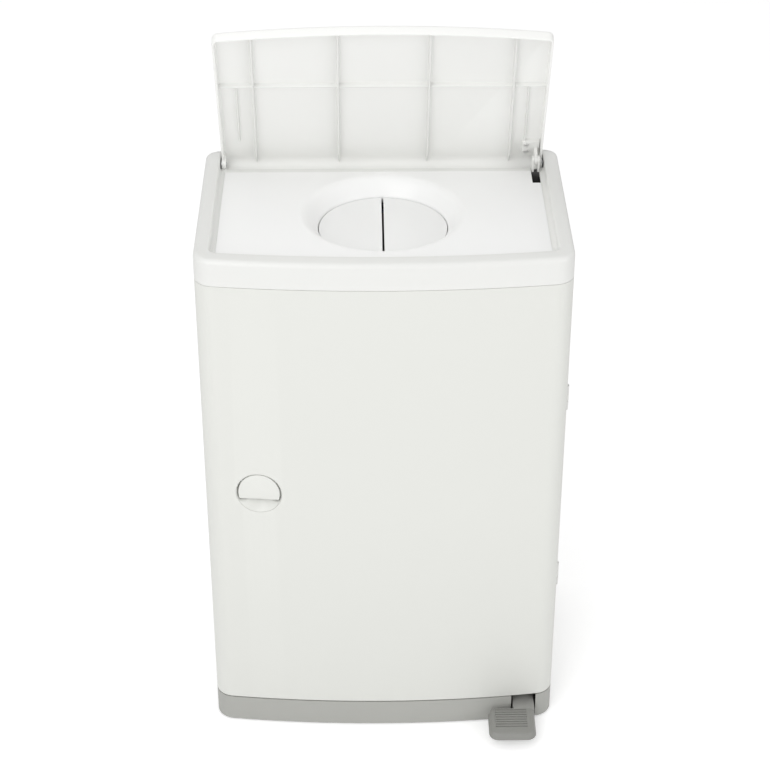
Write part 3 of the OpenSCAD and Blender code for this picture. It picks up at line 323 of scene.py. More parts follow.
for i in range(0, 8):
    turn = math.pi / 2 * i / 7
    frame_rings.append(cove_ring(COVE * (1 - math.cos(turn)), DECK + COVE - COVE * math.sin(turn)))
frame_rings.append(cove_ring(COVE, DECK_UNDER))
frame_rings.append(recess_ring(RECESS_WALL, DECK_UNDER))
frame_rings.append(recess_ring(RECESS_WALL, FRAME_UNDER))
frame_rings.append(outer_ring(FRAME_WALL, FRAME_UNDER))
top_frame = loft("rim", frame_rings)

# Behind the deck a shelf leads into the trough, which takes the lid's rolled rear edge.
TROUGH = 0.0108
TROUGH_OUTSIDE = TROUGH + 0.0025
TROUGH_BACK = BACK - 0.004
HOLLOW = 0.0074
trough_profile = []
for i in range(0, 13):
    turn = -math.radians(64) * i / 12
    trough_profile.append((HINGE_Y + TROUGH * math.cos(turn), HINGE_Z + TROUGH * math.sin(turn)))
for i in range(0, 21):
    turn = -math.radians(66 + 101.5 * i / 20)
    trough_profile.append((HINGE_Y + HOLLOW * math.cos(turn), HINGE_Z + HOLLOW * math.sin(turn)))
trough_profile.append((HINGE_Y - 0.0088, DECK))
trough_profile.append((HINGE_Y - 0.0134, DECK))
trough_profile.append((HINGE_Y - 0.0136, DECK - 0.0002))
for i in range(0, 25):
    turn = -math.radians(168) * (1 - i / 24)
    y = HINGE_Y + TROUGH_OUTSIDE * math.cos(turn)
    trough_profile.append((y, HINGE_Z + TROUGH_OUTSIDE * math.sin(turn)))
trough_profile = [(min(y, TROUGH_BACK), z) for y, z in trough_profile]
trough_half = HALF_WIDTH - RIM + 0.001
trough = along_x("trough", trough_profile, -trough_half, 0.0, trough_half)


def end_disc(name, x_low, x_high):
    """Disc across the end of the trough, which carries the lid's hinge bush."""
    around = circle(HINGE_Y, HINGE_Z, TROUGH_OUTSIDE, 48)
    return along_x(name, [(min(y, TROUGH_BACK), min(z, TOP - 0.003)) for y, z in around], x_low, x_high)


recess_side = HALF_WIDTH - RIM
trough_ends = [end_disc("trough_end_left", -recess_side - RECESS_WALL, -recess_side),
               end_disc("trough_end_right", recess_side, recess_side + RECESS_WALL)]


def join(pieces, name):
    """Makes one object of several meshes."""
    build = bmesh.new()
    for piece in pieces:
        build.from_mesh(piece.data)
        bpy.data.objects.remove(piece)
    mesh = bpy.data.meshes.new(name)
    build.to_mesh(mesh)
    build.free()
    whole = bpy.data.objects.new(name, mesh)
    bpy.context.scene.collection.objects.link(whole)
    return whole


def box_mesh(name, low, high):
    rings = [[Vector((low[0], low[1], z)), Vector((high[0], low[1], z)), Vector((high[0], high[1], z)),
              Vector((low[0], high[1], z))] for z in (low[2], high[2])]
    return loft(name, rings, ends=True)


def settle(piece):
    """Makes a piece's modifiers final, without the empty material slot that this leaves behind."""
    bpy.context.view_layer.update()
    result = bpy.data.meshes.new_from_object(piece.evaluated_get(bpy.context.evaluated_depsgraph_get()))
    result.materials.clear()
    piece.modifiers.clear()
    piece.data = result


def cut_away(piece, *cutters):
    """Takes the cutters' shapes out of a piece for good."""
    for cutter in cutters:
        step = piece.modifiers.new("cut", "BOOLEAN")
        step.operation = "DIFFERENCE"
        step.solver = "MANIFOLD"
        step.object = cutter
    settle(piece)
    for cutter in cutters:
        bpy.data.objects.remove(cutter)


def round_edges(piece, width):
    """Rounds a piece's sharp edges for good."""
    rounding = piece.modifiers.new("edges", "BEVEL")
    rounding.width = width
    rounding.segments = 2
    rounding.limit_method = "ANGLE"
    rounding.angle_limit = math.radians(50)
    settle(piece)


# The notch that lets the lid's crank and the push rod through the trough and the deck.
NOTCH_LEFT = 0.143
NOTCH_RIGHT = 0.1515
NOTCH_FRONT = 0.07875
NOTCH_BACK = 0.11175
NOTCH_LOW = 0.48


def notch(name, z_high):
    return box_mesh(name, (NOTCH_LEFT, NOTCH_FRONT, NOTCH_LOW), (NOTCH_RIGHT, NOTCH_BACK, z_high))


cut_away(trough, notch("notch_in_trough", HINGE_Z))
top_frame = join([top_frame, trough] + trough_ends, "top_frame_piece")
smooth(top_frame)
frame_white = moulded_plastic("frame_white_plastic", (0.796, 0.799, 0.778), 0.33, mottle=0.002)
top_frame.data.materials.append(frame_white)
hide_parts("top_frame")
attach(top_frame, "casing")

# ---------------------------------------------------------------------------
# Deck: the lift-out white panel inside the rim. Its funnel has a broad rounded mouth and narrows to a
# short throat, where lugs hold the pins of the two flaps. A notch at the right lets the lid's crank down.
# ---------------------------------------------------------------------------

FUNNEL_Y = FRONT + 0.1175
MOUTH = 0.073
THROAT = 0.0605
FLAP_TOP = DECK - 0.0165
DECK_GAP = COVE + 0.0001
THROAT_LOW = FLAP_TOP - 0.005
FUNNEL_WALL = 0.0025
deck_edge = outline(HALF_WIDTH - RIM - DECK_GAP, LIP + DECK_GAP, 0.0015, HINGE_Y - 0.01375, 0.0006)
deck_plan = [Vector((x, y - FUNNEL_Y)) for x, y in deck_edge]


def deck_ring(inset, z):
    ring = []
    for point in deck_plan:
        length = point.length
        near = point * ((length - inset) / length)
        ring.append(Vector((near.x, near.y + FUNNEL_Y, z)))
    return ring


def funnel_ring(radius, z):
    ring = []
    for point in deck_plan:
        around = point.normalized() * radius
        ring.append(Vector((around.x, around.y + FUNNEL_Y, z)))
    return ring


slope = math.atan2(DECK - FLAP_TOP - 0.0015, MOUTH - THROAT)
ROUND = 0.011
mouth_start = MOUTH + ROUND * math.tan(slope / 2)
deck_rings = [deck_ring(0.0, DECK_UNDER), deck_ring(0.0, DECK - 0.0002), deck_ring(0.0002, DECK)]
for i in range(0, 11):
    turn = slope * i / 10
    deck_rings.append(funnel_ring(mouth_start - ROUND * math.sin(turn), DECK - ROUND * (1 - math.cos(turn))))
deck_rings.append(funnel_ring(THROAT + 0.0012, FLAP_TOP + 0.0029))
deck_rings.append(funnel_ring(THROAT + 0.0002, FLAP_TOP + 0.0012))
deck_rings.append(funnel_ring(THROAT, FLAP_TOP))
deck_rings.append(funnel_ring(THROAT, THROAT_LOW))
deck_rings.append(funnel_ring(THROAT + FUNNEL_WALL, THROAT_LOW))
deck_rings.append(funnel_ring(THROAT + FUNNEL_WALL, FLAP_TOP - 0.001))
deck_rings.append(funnel_ring(MOUTH + FUNNEL_WALL, DECK - 0.006))
deck_rings.append(funnel_ring(MOUTH + 0.0045, DECK_UNDER))
deck = loft("deck_plate", deck_rings)
cut_away(deck, notch("notch_in_deck", DECK + 0.01))

FLAP_PIN_X = 0.055
FLAP_PIN_Z = 0.503
LUG_HALF = 0.0019
lugs = []
for side in (-1, 1):
    for end in (-1, 1):
        x_low, x_high = sorted((side * (FLAP_PIN_X - LUG_HALF), side * (THROAT + 0.0005)))
        y_low, y_high = sorted((FUNNEL_Y + end * 0.0135, FUNNEL_Y + end * 0.017))
        lugs.append(box_mesh("pin_lug", (x_low, y_low, FLAP_PIN_Z - LUG_HALF),
                             (x_high, y_high, FLAP_PIN_Z + LUG_HALF)))
deck = join([deck] + lugs, "deck_piece")
smooth(deck, 25)
deck_white = moulded_plastic("deck_white_plastic", (0.935, 0.936, 0.932), 0.32, mottle=0.002, grain=0.01)
deck.data.materials.append(deck_white)
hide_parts("deck_panel")
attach(deck, "casing")

# ---------------------------------------------------------------------------
# Flaps: two half discs of white plastic that close the funnel and part under a hand.
# Each turns on a steel pin, and a small spring wound round the pin shuts it.
# ---------------------------------------------------------------------------

flap_white = moulded_plastic("flap_white_plastic", (0.885, 0.886, 0.882), 0.33, mottle=0.002)
finish_with(flap_white, "flap_left", "flap_right")
ease_edges(0.0004, "flap_left", "flap_right")
finish_with(zinc, "flap_pins", "flap_springs")

# ---------------------------------------------------------------------------
# Film cartridge: a ring-shaped tub on the shelf under the deck, full of pleated blue film.
# Tub and cap have the casing's white plastic, so only the film gets a finish of its own here.
# ---------------------------------------------------------------------------

film_blue = moulded_plastic("film_blue", (0.42, 0.55, 0.70), 0.28, mottle=0.05, grain=0.9)
finish_with(film_blue, "film_pack")

# ---------------------------------------------------------------------------
# Lid: a thin white tray with a crossing pattern of ribs under it and a rolled rear edge.
# It is drawn shut, as it leaves the mould, and swung up round its hinge to where it stands.
# ---------------------------------------------------------------------------

LID_OPEN = 62
LID_DEEP = 0.0105
LID_WALL = 0.0022
LID_TOP = HINGE_Z + LID_DEEP
LID_REAR = HALF_WIDTH - RIM - 0.0013
LID_FRONT = HALF_WIDTH - RIM - 0.0032
LID_FREE = LIP + 0.0015


def lid_plan(inset, back):
    """Plan of the lid, a little narrower at its free edge than at the hinge."""
    corner = max(RECESS_CORNER - inset, 0.001)
    plan = outline(LID_FRONT - inset, LID_FREE + inset, corner, back, 0.00001)
    front_line = min(y for x, y in plan) + 0.012
    length = back - front_line
    ring = []
    for x, y in plan:
        share = max((y - front_line) / length, 0.0)
        wider = (LID_REAR - LID_FRONT) * share * abs(x) / LID_FRONT
        ring.append((x + math.copysign(wider, x), y))
    return ring


def lid_ring(inset, z, back=HINGE_Y):
    return at_height(lid_plan(inset, back), z)


LID_EDGE = 0.0026
lid_rings = [lid_ring(0.0007, HINGE_Z), lid_ring(0.0002, HINGE_Z + 0.0002), lid_ring(0.0, HINGE_Z + 0.0008)]
for i in range(0, 7):
    turn = math.pi / 2 * i / 6
    lid_rings.append(lid_ring(LID_EDGE * (1 - math.cos(turn)), LID_TOP - LID_EDGE * (1 - math.sin(turn))))
lid_rings.append(lid_ring(0.03, LID_TOP))
lid_skin = loft("lid_skin", lid_rings, ends=True)
UNDER = LID_TOP - LID_WALL
PAST_HINGE = HINGE_Y + 0.02
lid_hollow_rings = [lid_ring(LID_WALL - 0.0005, HINGE_Z - 0.002, PAST_HINGE),
                    lid_ring(LID_WALL - 0.0005, HINGE_Z, PAST_HINGE),
                    lid_ring(LID_WALL, HINGE_Z + 0.0006, PAST_HINGE),
                    lid_ring(LID_WALL, UNDER - 0.0012, PAST_HINGE),
                    lid_ring(LID_WALL + 0.0004, UNDER - 0.0004, PAST_HINGE),
                    lid_ring(LID_WALL + 0.0012, UNDER, PAST_HINGE)]
cut_away(lid_skin, loft("lid_hollow", lid_hollow_rings, ends=True))

# The rolled rear edge: a quarter barrel round the hinge axis, closed at both ends.
barrel_profile = []
for i in range(0, 17):
    turn = math.pi / 2 * i / 16
    barrel_profile.append((HINGE_Y + LID_DEEP * math.cos(turn), HINGE_Z + LID_DEEP * math.sin(turn)))
inner = LID_DEEP - LID_WALL
for i in range(0, 17):
    turn = math.pi / 2 * (1 - i / 16)
    barrel_profile.append((HINGE_Y + inner * math.cos(turn), HINGE_Z + inner * math.sin(turn)))
barrel = along_x("lid_barrel", barrel_profile, -LID_REAR, 0.0, LID_REAR)
end_profile = [(HINGE_Y, HINGE_Z)] + barrel_profile[:17]
barrel_ends = [along_x("barrel_end", end_profile, -LID_REAR, LID_WALL - LID_REAR),
               along_x("barrel_end", end_profile, LID_REAR - LID_WALL, LID_REAR)]

# Two ears on the hinge pins.
EAR_ROUND = 0.006
EAR_TOP = LID_TOP - 0.0012
LID_PIN_HOLE = 0.00256
ear_profile = [(HINGE_Y + 0.004, EAR_TOP), (HINGE_Y - EAR_ROUND, EAR_TOP), (HINGE_Y - EAR_ROUND, HINGE_Z)]
for i in range(1, 24):
    turn = math.pi + math.pi * i / 24
    ear_profile.append((HINGE_Y + EAR_ROUND * math.cos(turn), HINGE_Z + EAR_ROUND * math.sin(turn)))
ear_profile.append((HINGE_Y + EAR_ROUND, HINGE_Z))
ears = []
around_pin = circle(HINGE_Y, HINGE_Z, LID_PIN_HOLE, 32)
for side in (-1, 1):
    x_low, x_high = sorted((side * LID_REAR, side * (LID_REAR - 0.004)))
    ear = along_x("hinge_ear", ear_profile, x_low, x_high)
    cut_away(ear, along_x("ear_bore", around_pin, x_low - 0.001, x_high + 0.001))
    ears.append(ear)


def rib(name, start, end, half_thick, low, high, tip_round=0.0006):
    """A rib between two places on the lid's underside, tapered and rounded along its free edge."""
    along = Vector((end[0] - start[0], end[1] - start[1], 0.0))
    across = Vector((-along.y, along.x, 0.0)).normalized()
    flank = [(1.7, high), (1.25, high - 0.0008), (1.05, high - 0.002), (0.8, low + tip_round), (0.45, low)]
    section = flank + [(-share, z) for share, z in reversed(flank)]
    rings = []
    for x, y in (start, end):
        middle = Vector((x, y, 0.0))
        rings.append([middle + across * half_thick * share + Vector((0, 0, z)) for share, z in section])
    return loft(name, rings, ends=True)


RIB_DEEP = 0.0062
RIB_ROOT = UNDER + 0.0006
ribs = []
for at_hinge, at_free in ((-0.1208, -0.1178), (-0.0413, -0.0403), (0.0437, 0.0427), (0.1227, 0.1193)):
    front = FRONT + LID_FREE + LID_WALL - 0.0004 + (bow_radius - math.sqrt(bow_radius ** 2 - at_free ** 2))
    start = (at_hinge, HINGE_Y - 0.009)
    ribs.append(rib("long_rib", start, (at_free, front), 0.001, UNDER - RIB_DEEP, RIB_ROOT))
    foot_start = (at_hinge, HINGE_Y - 0.0095)
    foot_end = (at_hinge, HINGE_Y + 0.004)
    ribs.append(rib("rib_foot", foot_start, foot_end, 0.0009, UNDER - 0.0028, RIB_ROOT))
CROSS = HINGE_Y - 0.114
CROSS_END = LID_REAR - 0.0012
ribs.append(rib("cross_rib", (-CROSS_END, CROSS), (CROSS_END, CROSS), 0.001, UNDER - 0.0040, RIB_ROOT))
for at_hinge, at_cross in ((-0.1358, -0.1345), (0.1364, 0.1348)):
    start = (at_hinge, HINGE_Y - 0.029)
    ribs.append(rib("side_rib", start, (at_cross, CROSS), 0.0007, UNDER - 0.0030, RIB_ROOT))
lid = join([lid_skin, barrel] + barrel_ends + ears, "lid_piece")
lid_ribs_painted_shade = join(ribs, "lid_ribs_painted_shade")
swing = Matrix.Translation((0, HINGE_Y, HINGE_Z)) @ Matrix.Rotation(math.radians(-LID_OPEN), 4, "X")
for piece in (lid, lid_ribs_painted_shade):
    piece.data.transform(swing @ Matrix.Translation((0, -HINGE_Y, -HINGE_Z)))
    smooth(piece)
# The lid's white is lighter than the same plastic on frame and door: painted light, standing in for light on
# the lid's shaded underside.
lid_white_painted_light = moulded_plastic("lid_white_painted_light_plastic", (0.91, 0.912, 0.892), 0.36, mottle=0.002)
lid.data.materials.append(lid_white_painted_light)
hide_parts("lid")
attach(lid, "lid")
# The ribs take the frame's darker white rather than the lid's: painted shade along the ribs under the lid.
lid_ribs_painted_shade.data.materials.append(frame_white)
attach(lid_ribs_painted_shade, "lid")
finish_with(zinc, "lid_hinge_pins", "crank_pin", "rod_pin")
bright_zinc = plated_steel("bright_zinc_plate", (0.86, 0.86, 0.85), 0.55)
finish_with(bright_zinc, "bracket_screws")
bush_nylon = moulded_plastic("hinge_nylon", (0.13, 0.13, 0.135), 0.45, mottle=0.01)
finish_with(bush_nylon, "lid_hinge_bushes")

# ---------------------------------------------------------------------------
# Crank and push rod: a white bracket screwed under the lid, and the long moulded rod from its pin down
# a channel in the casing to the pedal's lever.
# ---------------------------------------------------------------------------

rod_white = moulded_plastic("rod_white_plastic", (0.80, 0.80, 0.78), 0.40)
finish_with(rod_white, "crank_bracket", "push_rod")
ease_edges(0.0004, "crank_bracket")

ROD_X = HALF_WIDTH - 0.02275
ROD_Y = 0.103375
ROD_TOP = 0.537433
ROD_LOW = 0.02742
ROD_HALF = 0.0036
EAR = 0.003
CRANK_PIN = 0.00181


def rod_part(name, outline_yz, cuts):
    part = along_x(name, outline_yz, ROD_X - ROD_HALF, ROD_X + ROD_HALF)
    cut_away(part, *cuts)
    round_edges(part, 0.0004)
    smooth(part)
    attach(part, "rod")
    return part


def pin_bore(z, radius):
    return along_x("pin_bore", circle(ROD_Y, z, radius, 32), ROD_X - 0.01, ROD_X + 0.01)


# The fork is a white cap on the rod, which runs on down to the lever's pin. The rod below the cap is coloured
# near-black as painted shade, for the shade inside the notch.
FORK_SLOT = EAR / 2 + 0.0002
FORK_LOW = DECK + 0.0005
SHANK = 0.003
FORK_ROUND = 0.0036
fork_outline = [(ROD_Y - SHANK, FORK_LOW), (ROD_Y + SHANK, FORK_LOW), (ROD_Y + SHANK, ROD_TOP - 0.002)]
for i in range(25):
    turn = -0.585 + (math.pi + 1.17) * i / 24
    fork_outline.append((ROD_Y + FORK_ROUND * math.cos(turn), ROD_TOP + FORK_ROUND * math.sin(turn)))
fork_outline.append((ROD_Y - SHANK, ROD_TOP - 0.002))
fork_slot = box_mesh("fork_slot", (ROD_X - FORK_SLOT, ROD_Y - 0.02, ROD_TOP - 0.012),
                     (ROD_X + FORK_SLOT, ROD_Y + 0.02, 0.56))
fork = rod_part("rod_fork", fork_outline, [fork_slot, pin_bore(ROD_TOP, CRANK_PIN)])
fork.data.materials.append(rod_white)
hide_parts("push_rod")
FOOT_ROUND = 0.0038
rod_outline = [(ROD_Y + SHANK, FORK_LOW), (ROD_Y - SHANK, FORK_LOW), (ROD_Y - SHANK, ROD_LOW + 0.0023)]
for i in range(25):
    turn = math.pi - 0.661 + (math.pi + 1.322) * i / 24
    rod_outline.append((ROD_Y + FOOT_ROUND * math.cos(turn), ROD_LOW + FOOT_ROUND * math.sin(turn)))
rod_outline.append((ROD_Y + SHANK, ROD_LOW + 0.0023))
shaft = rod_part("rod_shaft", rod_outline, [pin_bore(ROD_LOW, 0.002)])
shaft.data.materials.append(painted_shade_black)

# ---------------------------------------------------------------------------
# Pedal: a grey moulded tread with sloping sides and eight grooves, on a stem that goes in through the slot.
# Two screws hold the stem on a pressed steel lever. It stands pressed, tipped down at the front.
# ---------------------------------------------------------------------------

PIVOT_Y = FRONT + 0.064
PIVOT_Z = 0.0182
PRESSED = 3.9509
STEM_LEFT = 0.13025
STEM_RIGHT = 0.15175
PAD_RIGHT = STEM_RIGHT
PAD_LEFT = PAD_RIGHT - 0.0472
PAD_FRONT = FRONT - 0.0385
PAD_BACK = PAD_FRONT + 0.041


def pad_ring(inset, z):
    """Plan of the tread: well rounded in front, less at the back."""
    ring = []
    corners = ((PAD_LEFT, PAD_FRONT, 0.0095, 180), (PAD_RIGHT, PAD_FRONT, 0.0095, 270),
               (PAD_RIGHT, PAD_BACK, 0.0045, 0), (PAD_LEFT, PAD_BACK, 0.0080, 90))
    middle_x = (PAD_LEFT + PAD_RIGHT) / 2
    middle_y = (PAD_FRONT + PAD_BACK) / 2
    for x, y, radius, start in corners:
        centre_x = x + math.copysign(radius, middle_x - x)
        centre_y = y + math.copysign(radius, middle_y - y)
        for i in range(11):
            turn = math.radians(start + 9 * i)
            reach = max(radius - inset, 0.0005)
            spare = inset - (radius - reach)
            ring.append(Vector((centre_x + reach * math.cos(turn) + math.copysign(spare, middle_x - x),
                                centre_y + reach * math.sin(turn) + math.copysign(spare, middle_y - y), z)))
    return ring


PAD_TOP = PIVOT_Z + 0.0072
PAD_LOW = PAD_TOP - 0.0070
pad_rings = [pad_ring(0.0025, PAD_LOW), pad_ring(0.0005, PAD_LOW), pad_ring(0.0, PAD_LOW + 0.0005),
             pad_ring(0.0004, PAD_LOW + 0.002), pad_ring(0.0014, PAD_TOP - 0.0022),
             pad_ring(0.0021, PAD_TOP - 0.0009), pad_ring(0.0029, PAD_TOP - 0.0002),
             pad_ring(0.0040, PAD_TOP), pad_ring(0.008, PAD_TOP)]
tread = loft("tread", pad_rings, ends=True)
GROOVES = 8
GROOVE_PITCH = 0.00325
grooves = []
for i in range(GROOVES):
    y = PAD_FRONT + 0.0123 + i * GROOVE_PITCH
    low = (PAD_LEFT + 0.0070, y, PAD_TOP - 0.0010)
    grooves.append(box_mesh("groove", low, (PAD_RIGHT - 0.0085, y + 0.0014, 0.03)))
cut_away(tread, *grooves)
STEM_HALF = 0.0032
STEM_FRONT = PAD_BACK - 0.0045
STEM_STEP = FRONT + 0.029
STEM_BACK = FRONT + 0.052
side_view = [(STEM_FRONT, PIVOT_Z - STEM_HALF), (STEM_BACK, PIVOT_Z - STEM_HALF),
             (STEM_BACK, PIVOT_Z + STEM_HALF), (STEM_STEP, PIVOT_Z + STEM_HALF),
             (STEM_STEP, PAD_TOP), (STEM_FRONT, PAD_TOP)]
stem = along_x("stem", side_view, STEM_LEFT, STEM_RIGHT)
under_stem = box_mesh("lever_seat", (0.1345, FRONT + 0.030, 0.0), (0.1475, FRONT + 0.053, PIVOT_Z + 0.0004))
cut_away(stem, under_stem)
round_edges(tread, 0.0003)
round_edges(stem, 0.0012)
pedal = join([tread, stem], "pedal_piece")
tip = Matrix.Translation((0, PIVOT_Y, PIVOT_Z)) @ Matrix.Rotation(math.radians(PRESSED), 4, "X")
pedal.data.transform(tip @ Matrix.Translation((0, -PIVOT_Y, -PIVOT_Z)))
smooth(pedal)
pedal_plastic = moulded_plastic("pedal_grey_plastic", (0.268, 0.268, 0.252), 0.40, mottle=0.006, wear=0.05)
pedal.data.materials.append(pedal_plastic)
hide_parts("pedal")
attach(pedal, "pedal")
finish_with(zinc, "pedal_lever", "lever_screws", "pedal_pin")

# ---------------------------------------------------------------------------
# Door: one white moulding that covers the bowed front and wraps round both corners.
# Flanges stiffen its ends, a rib presses on the foam seal, and it turns on pins in the right edge.
# ---------------------------------------------------------------------------

DOOR_LOW = 0.031
DOOR_HIGH = FRAME_LOW - 0.0008
DOOR_BACK = FRONT + 0.0305
WALL = 0.003


def door_strip(inset):
    """The front part of the plan, from the left rear edge round the front to the right one."""
    plan = outline(HALF_WIDTH, inset, FRONT_CORNER - inset, BACK - inset, max(REAR_CORNER - inset, 0.002))
    front = plan[:FRONT_POINTS]
    right = plan[FRONT_POINTS:FRONT_POINTS + CORNER_POINTS]
    x_side = HALF_WIDTH - inset
    right += [(x_side, right[-1][1] + (DOOR_BACK - right[-1][1]) * i / 3) for i in range(1, 4)]
    left = [(-x, y) for x, y in reversed(right)]
    return left + front + right


def door_section(z, pull=0.0):
    outer = door_strip(pull)
    inner = door_strip(WALL - pull)
    if pull:
        outer = [(x, min(y, DOOR_BACK - pull)) for x, y in outer]
        inner = [(x, min(y, DOOR_BACK - pull)) for x, y in inner]
    return [Vector((x, y, z)) for x, y in outer] + [Vector((x, y, z)) for x, y in reversed(inner)]


door_rings = [door_section(DOOR_LOW, 0.0007), door_section(DOOR_LOW + 0.0002, 0.0002),
              door_section(DOOR_LOW + 0.0007), door_section((DOOR_LOW + DOOR_HIGH) / 2),
              door_section(DOOR_HIGH - 0.0003), door_section(DOOR_HIGH, 0.0003)]
door_skin = loft("door_skin", door_rings, ends=True)

HANDLE_X = -0.1184
HANDLE_Z = 0.2855
CUP = 0.02175
handle_front = bow_middle - math.sqrt(bow_radius ** 2 - HANDLE_X ** 2)
handle_turn = -math.asin(-HANDLE_X / bow_radius)
at_handle = Matrix.Translation((HANDLE_X, handle_front, HANDLE_Z)) @ Matrix.Rotation(handle_turn, 4, "Z")


def turned_piece(name, profile, count=96):
    """Turned shape round the handle's axis, from pairs of radius and depth behind the door's face."""
    rings = []
    for radius, depth in profile:
        rings.append([at_handle @ Vector((x, depth, z)) for x, z in circle(0.0, 0.0, radius, count)])
    return loft(name, rings, ends=True)


hole = turned_piece("handle_hole", ((CUP + 0.00015, -0.01), (CUP + 0.00015, 0.012)))
cut_away(door_skin, hole)

# Four ribs make a rectangle that presses on the seal, and a flange closes each end of the skin.
RIB_X = 0.152
RIB_LOW = 0.044
RIB_HIGH = 0.496
RIB_WALL = 0.002
RIB_BACK = FRONT + 0.019 - 0.0039
FLANGE_IN = 0.0006
FLANGE_BACK = DOOR_BACK - 0.0007


def door_rib(x_low, x_high, z_low, z_high, count):
    """A rib on the inside of the bowed skin, flat behind."""
    rings = []
    for i in range(count):
        x = x_low + (x_high - x_low) * i / (count - 1)
        skin_y = bow_middle - math.sqrt((bow_radius - WALL / 2) ** 2 - x ** 2)
        rings.append([Vector((x, skin_y, z_low)), Vector((x, RIB_BACK, z_low)), Vector((x, RIB_BACK, z_high)),
                      Vector((x, skin_y, z_high))])
    return loft("door_rib", rings, ends=True)


door_ribs = [door_rib(-RIB_X, -RIB_X + RIB_WALL, RIB_LOW, RIB_HIGH, 2),
             door_rib(RIB_X - RIB_WALL, RIB_X, RIB_LOW, RIB_HIGH, 2),
             door_rib(-RIB_X, RIB_X, RIB_LOW, RIB_LOW + RIB_WALL, 25),
             door_rib(-RIB_X, RIB_X, RIB_HIGH - RIB_WALL, RIB_HIGH, 25)]
flange_outer = [(x, min(y, FLANGE_BACK)) for x, y in door_strip(WALL / 2)]
flange_inner = [(math.copysign(min(abs(x), 0.165), x), max(min(y, FLANGE_BACK), FRONT + 0.016))
                for x, y in door_strip(0.005)]
flange_plan = flange_outer + list(reversed(flange_inner))
for z_low, z_high in ((DOOR_LOW + FLANGE_IN, DOOR_LOW + WALL), (DOOR_HIGH - WALL, DOOR_HIGH - FLANGE_IN)):
    door_ribs.append(loft("door_flange", [at_height(flange_plan, z) for z in (z_low, z_high)], ends=True))
PIN_X = 0.169
PIN_Y = FRONT + 0.031


def upright(name, x, y, z_low, z_high, radius, count=48):
    """An upright cylinder with a small chamfer at both ends."""
    ease = 0.0003
    steps = ((z_low, radius - ease), (z_low + ease, radius), (z_high - ease, radius), (z_high, radius - ease))
    return loft(name, [at_height(circle(x, y, reach, count), z) for z, reach in steps], ends=True)


KNUCKLE_GAP = 0.0004
THIRD = 0.026 / 3
room = []
knuckles = []
for middle in (0.169, 0.3755):
    low = middle - 0.013 + THIRD
    for place in (-1, 1):
        centre = middle + place * THIRD
        room.append(upright("knuckle_room", PIN_X, PIN_Y, centre - THIRD / 2 - KNUCKLE_GAP,
                            centre + THIRD / 2 + KNUCKLE_GAP, 0.0033))
    knuckles.append(upright("door_knuckle", PIN_X, PIN_Y, low + KNUCKLE_GAP,
                            low + THIRD - KNUCKLE_GAP, 0.0028))
cut_away(door_skin, *room)
BOSS_RISE = 0.02945
BOSS = 0.004
for z in (HANDLE_Z - BOSS_RISE, HANDLE_Z + BOSS_RISE):
    around = circle(HANDLE_X, z, BOSS, 32)
    rings = [[Vector((x, y, high)) for x, high in around] for y in (handle_front + 0.0015, FRONT + 0.0175)]
    door_ribs.append(loft("screw_boss", rings, ends=True))
door = join([door_skin] + door_ribs + knuckles, "door_piece")
smooth(door)
door_white = moulded_plastic("door_white_plastic", (0.752, 0.758, 0.722), 0.33, mottle=0.0015, grain=0.012)
door.data.materials.append(door_white)
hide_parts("door")
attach(door, "door")

# ---------------------------------------------------------------------------
# Handle: a round white cup let into the door, scooped out below for the fingers, with a flush D-shaped
# paddle that tips on a steel pin. Behind it are the latch housing, its bolt and the bolt's spring.
# ---------------------------------------------------------------------------


SCOOP_START = 0.40
SCOOP_BLEND = 0.30
SCOOP_SLOPE = 1.42
SCOOP_DEEP = 0.0064
CUP_FLOOR = 0.0094
CUP_BACK = 0.011


def scooped(radius, depth, turn):
    """The lower part of the cup slopes in, so that fingertips find their way under the paddle."""
    downward = min(max((-math.sin(turn) - SCOOP_START) / SCOOP_BLEND, 0.0), 1.0)
    downward = downward * downward * (3 - 2 * downward)
    if depth < 0.0002 or depth > 0.0095 or radius > CUP - 0.0003:
        return radius
    return max(radius - SCOOP_SLOPE * min(max(depth - 0.0004, 0.0), SCOOP_DEEP) * downward, 0.0062)


cup_profile = [(CUP, 0.0105), (CUP, 0.0005), (CUP - 0.0001, 0.0003), (CUP - 0.0003, 0.0003),
               (CUP - 0.0005, 0.0006), (CUP - 0.0005, 0.0020), (CUP - 0.0005, 0.0035),
               (CUP - 0.0005, 0.0050), (CUP - 0.0006, 0.0062),
               (CUP - 0.0007, 0.0068), (CUP - 0.0010, 0.0080), (CUP - 0.0016, 0.0088),
               (CUP - 0.0030, CUP_FLOOR), (0.006, CUP_FLOOR), (0.006, CUP_BACK), (CUP - 0.0005, CUP_BACK)]


def cup_ring(radius, depth, count=96):
    ring = []
    for i in range(count):
        turn = math.tau * i / count
        reach = scooped(radius, depth, turn)
        ring.append(at_handle @ Vector((reach * math.cos(turn), depth, reach * math.sin(turn))))
    return ring


cup = loft("cup", [cup_ring(r, d) for r, d in cup_profile])
cup_bottom = turned_piece("cup_bottom", ((0.0065, CUP_FLOOR), (0.0065, CUP_BACK)))
# A slot in the cup's floor gives the paddle's tail room to swing.
for floor_part in (cup, cup_bottom):
    tail_slot = box_mesh("tail_slot", (-0.0059, 0.0088, 0.0050), (-0.0001, 0.0118, 0.0149))
    tail_slot.data.transform(at_handle)
    cut_away(floor_part, tail_slot)
handle_cup = join([cup, cup_bottom], "handle_cup_piece")
smooth(handle_cup)
handle_white = moulded_plastic("handle_white_plastic", (0.77, 0.776, 0.740), 0.33, mottle=0.0015, grain=0.012)
handle_cup.data.materials.append(handle_white)
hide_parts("handle_cup")
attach(handle_cup, "door")

PADDLE = 0.0206
PADDLE_WIDE = 0.0197
PADDLE_FLAT = -0.0067
PADDLE_THICK = 0.0026
PADDLE_PIN = (0.003, 0.012)


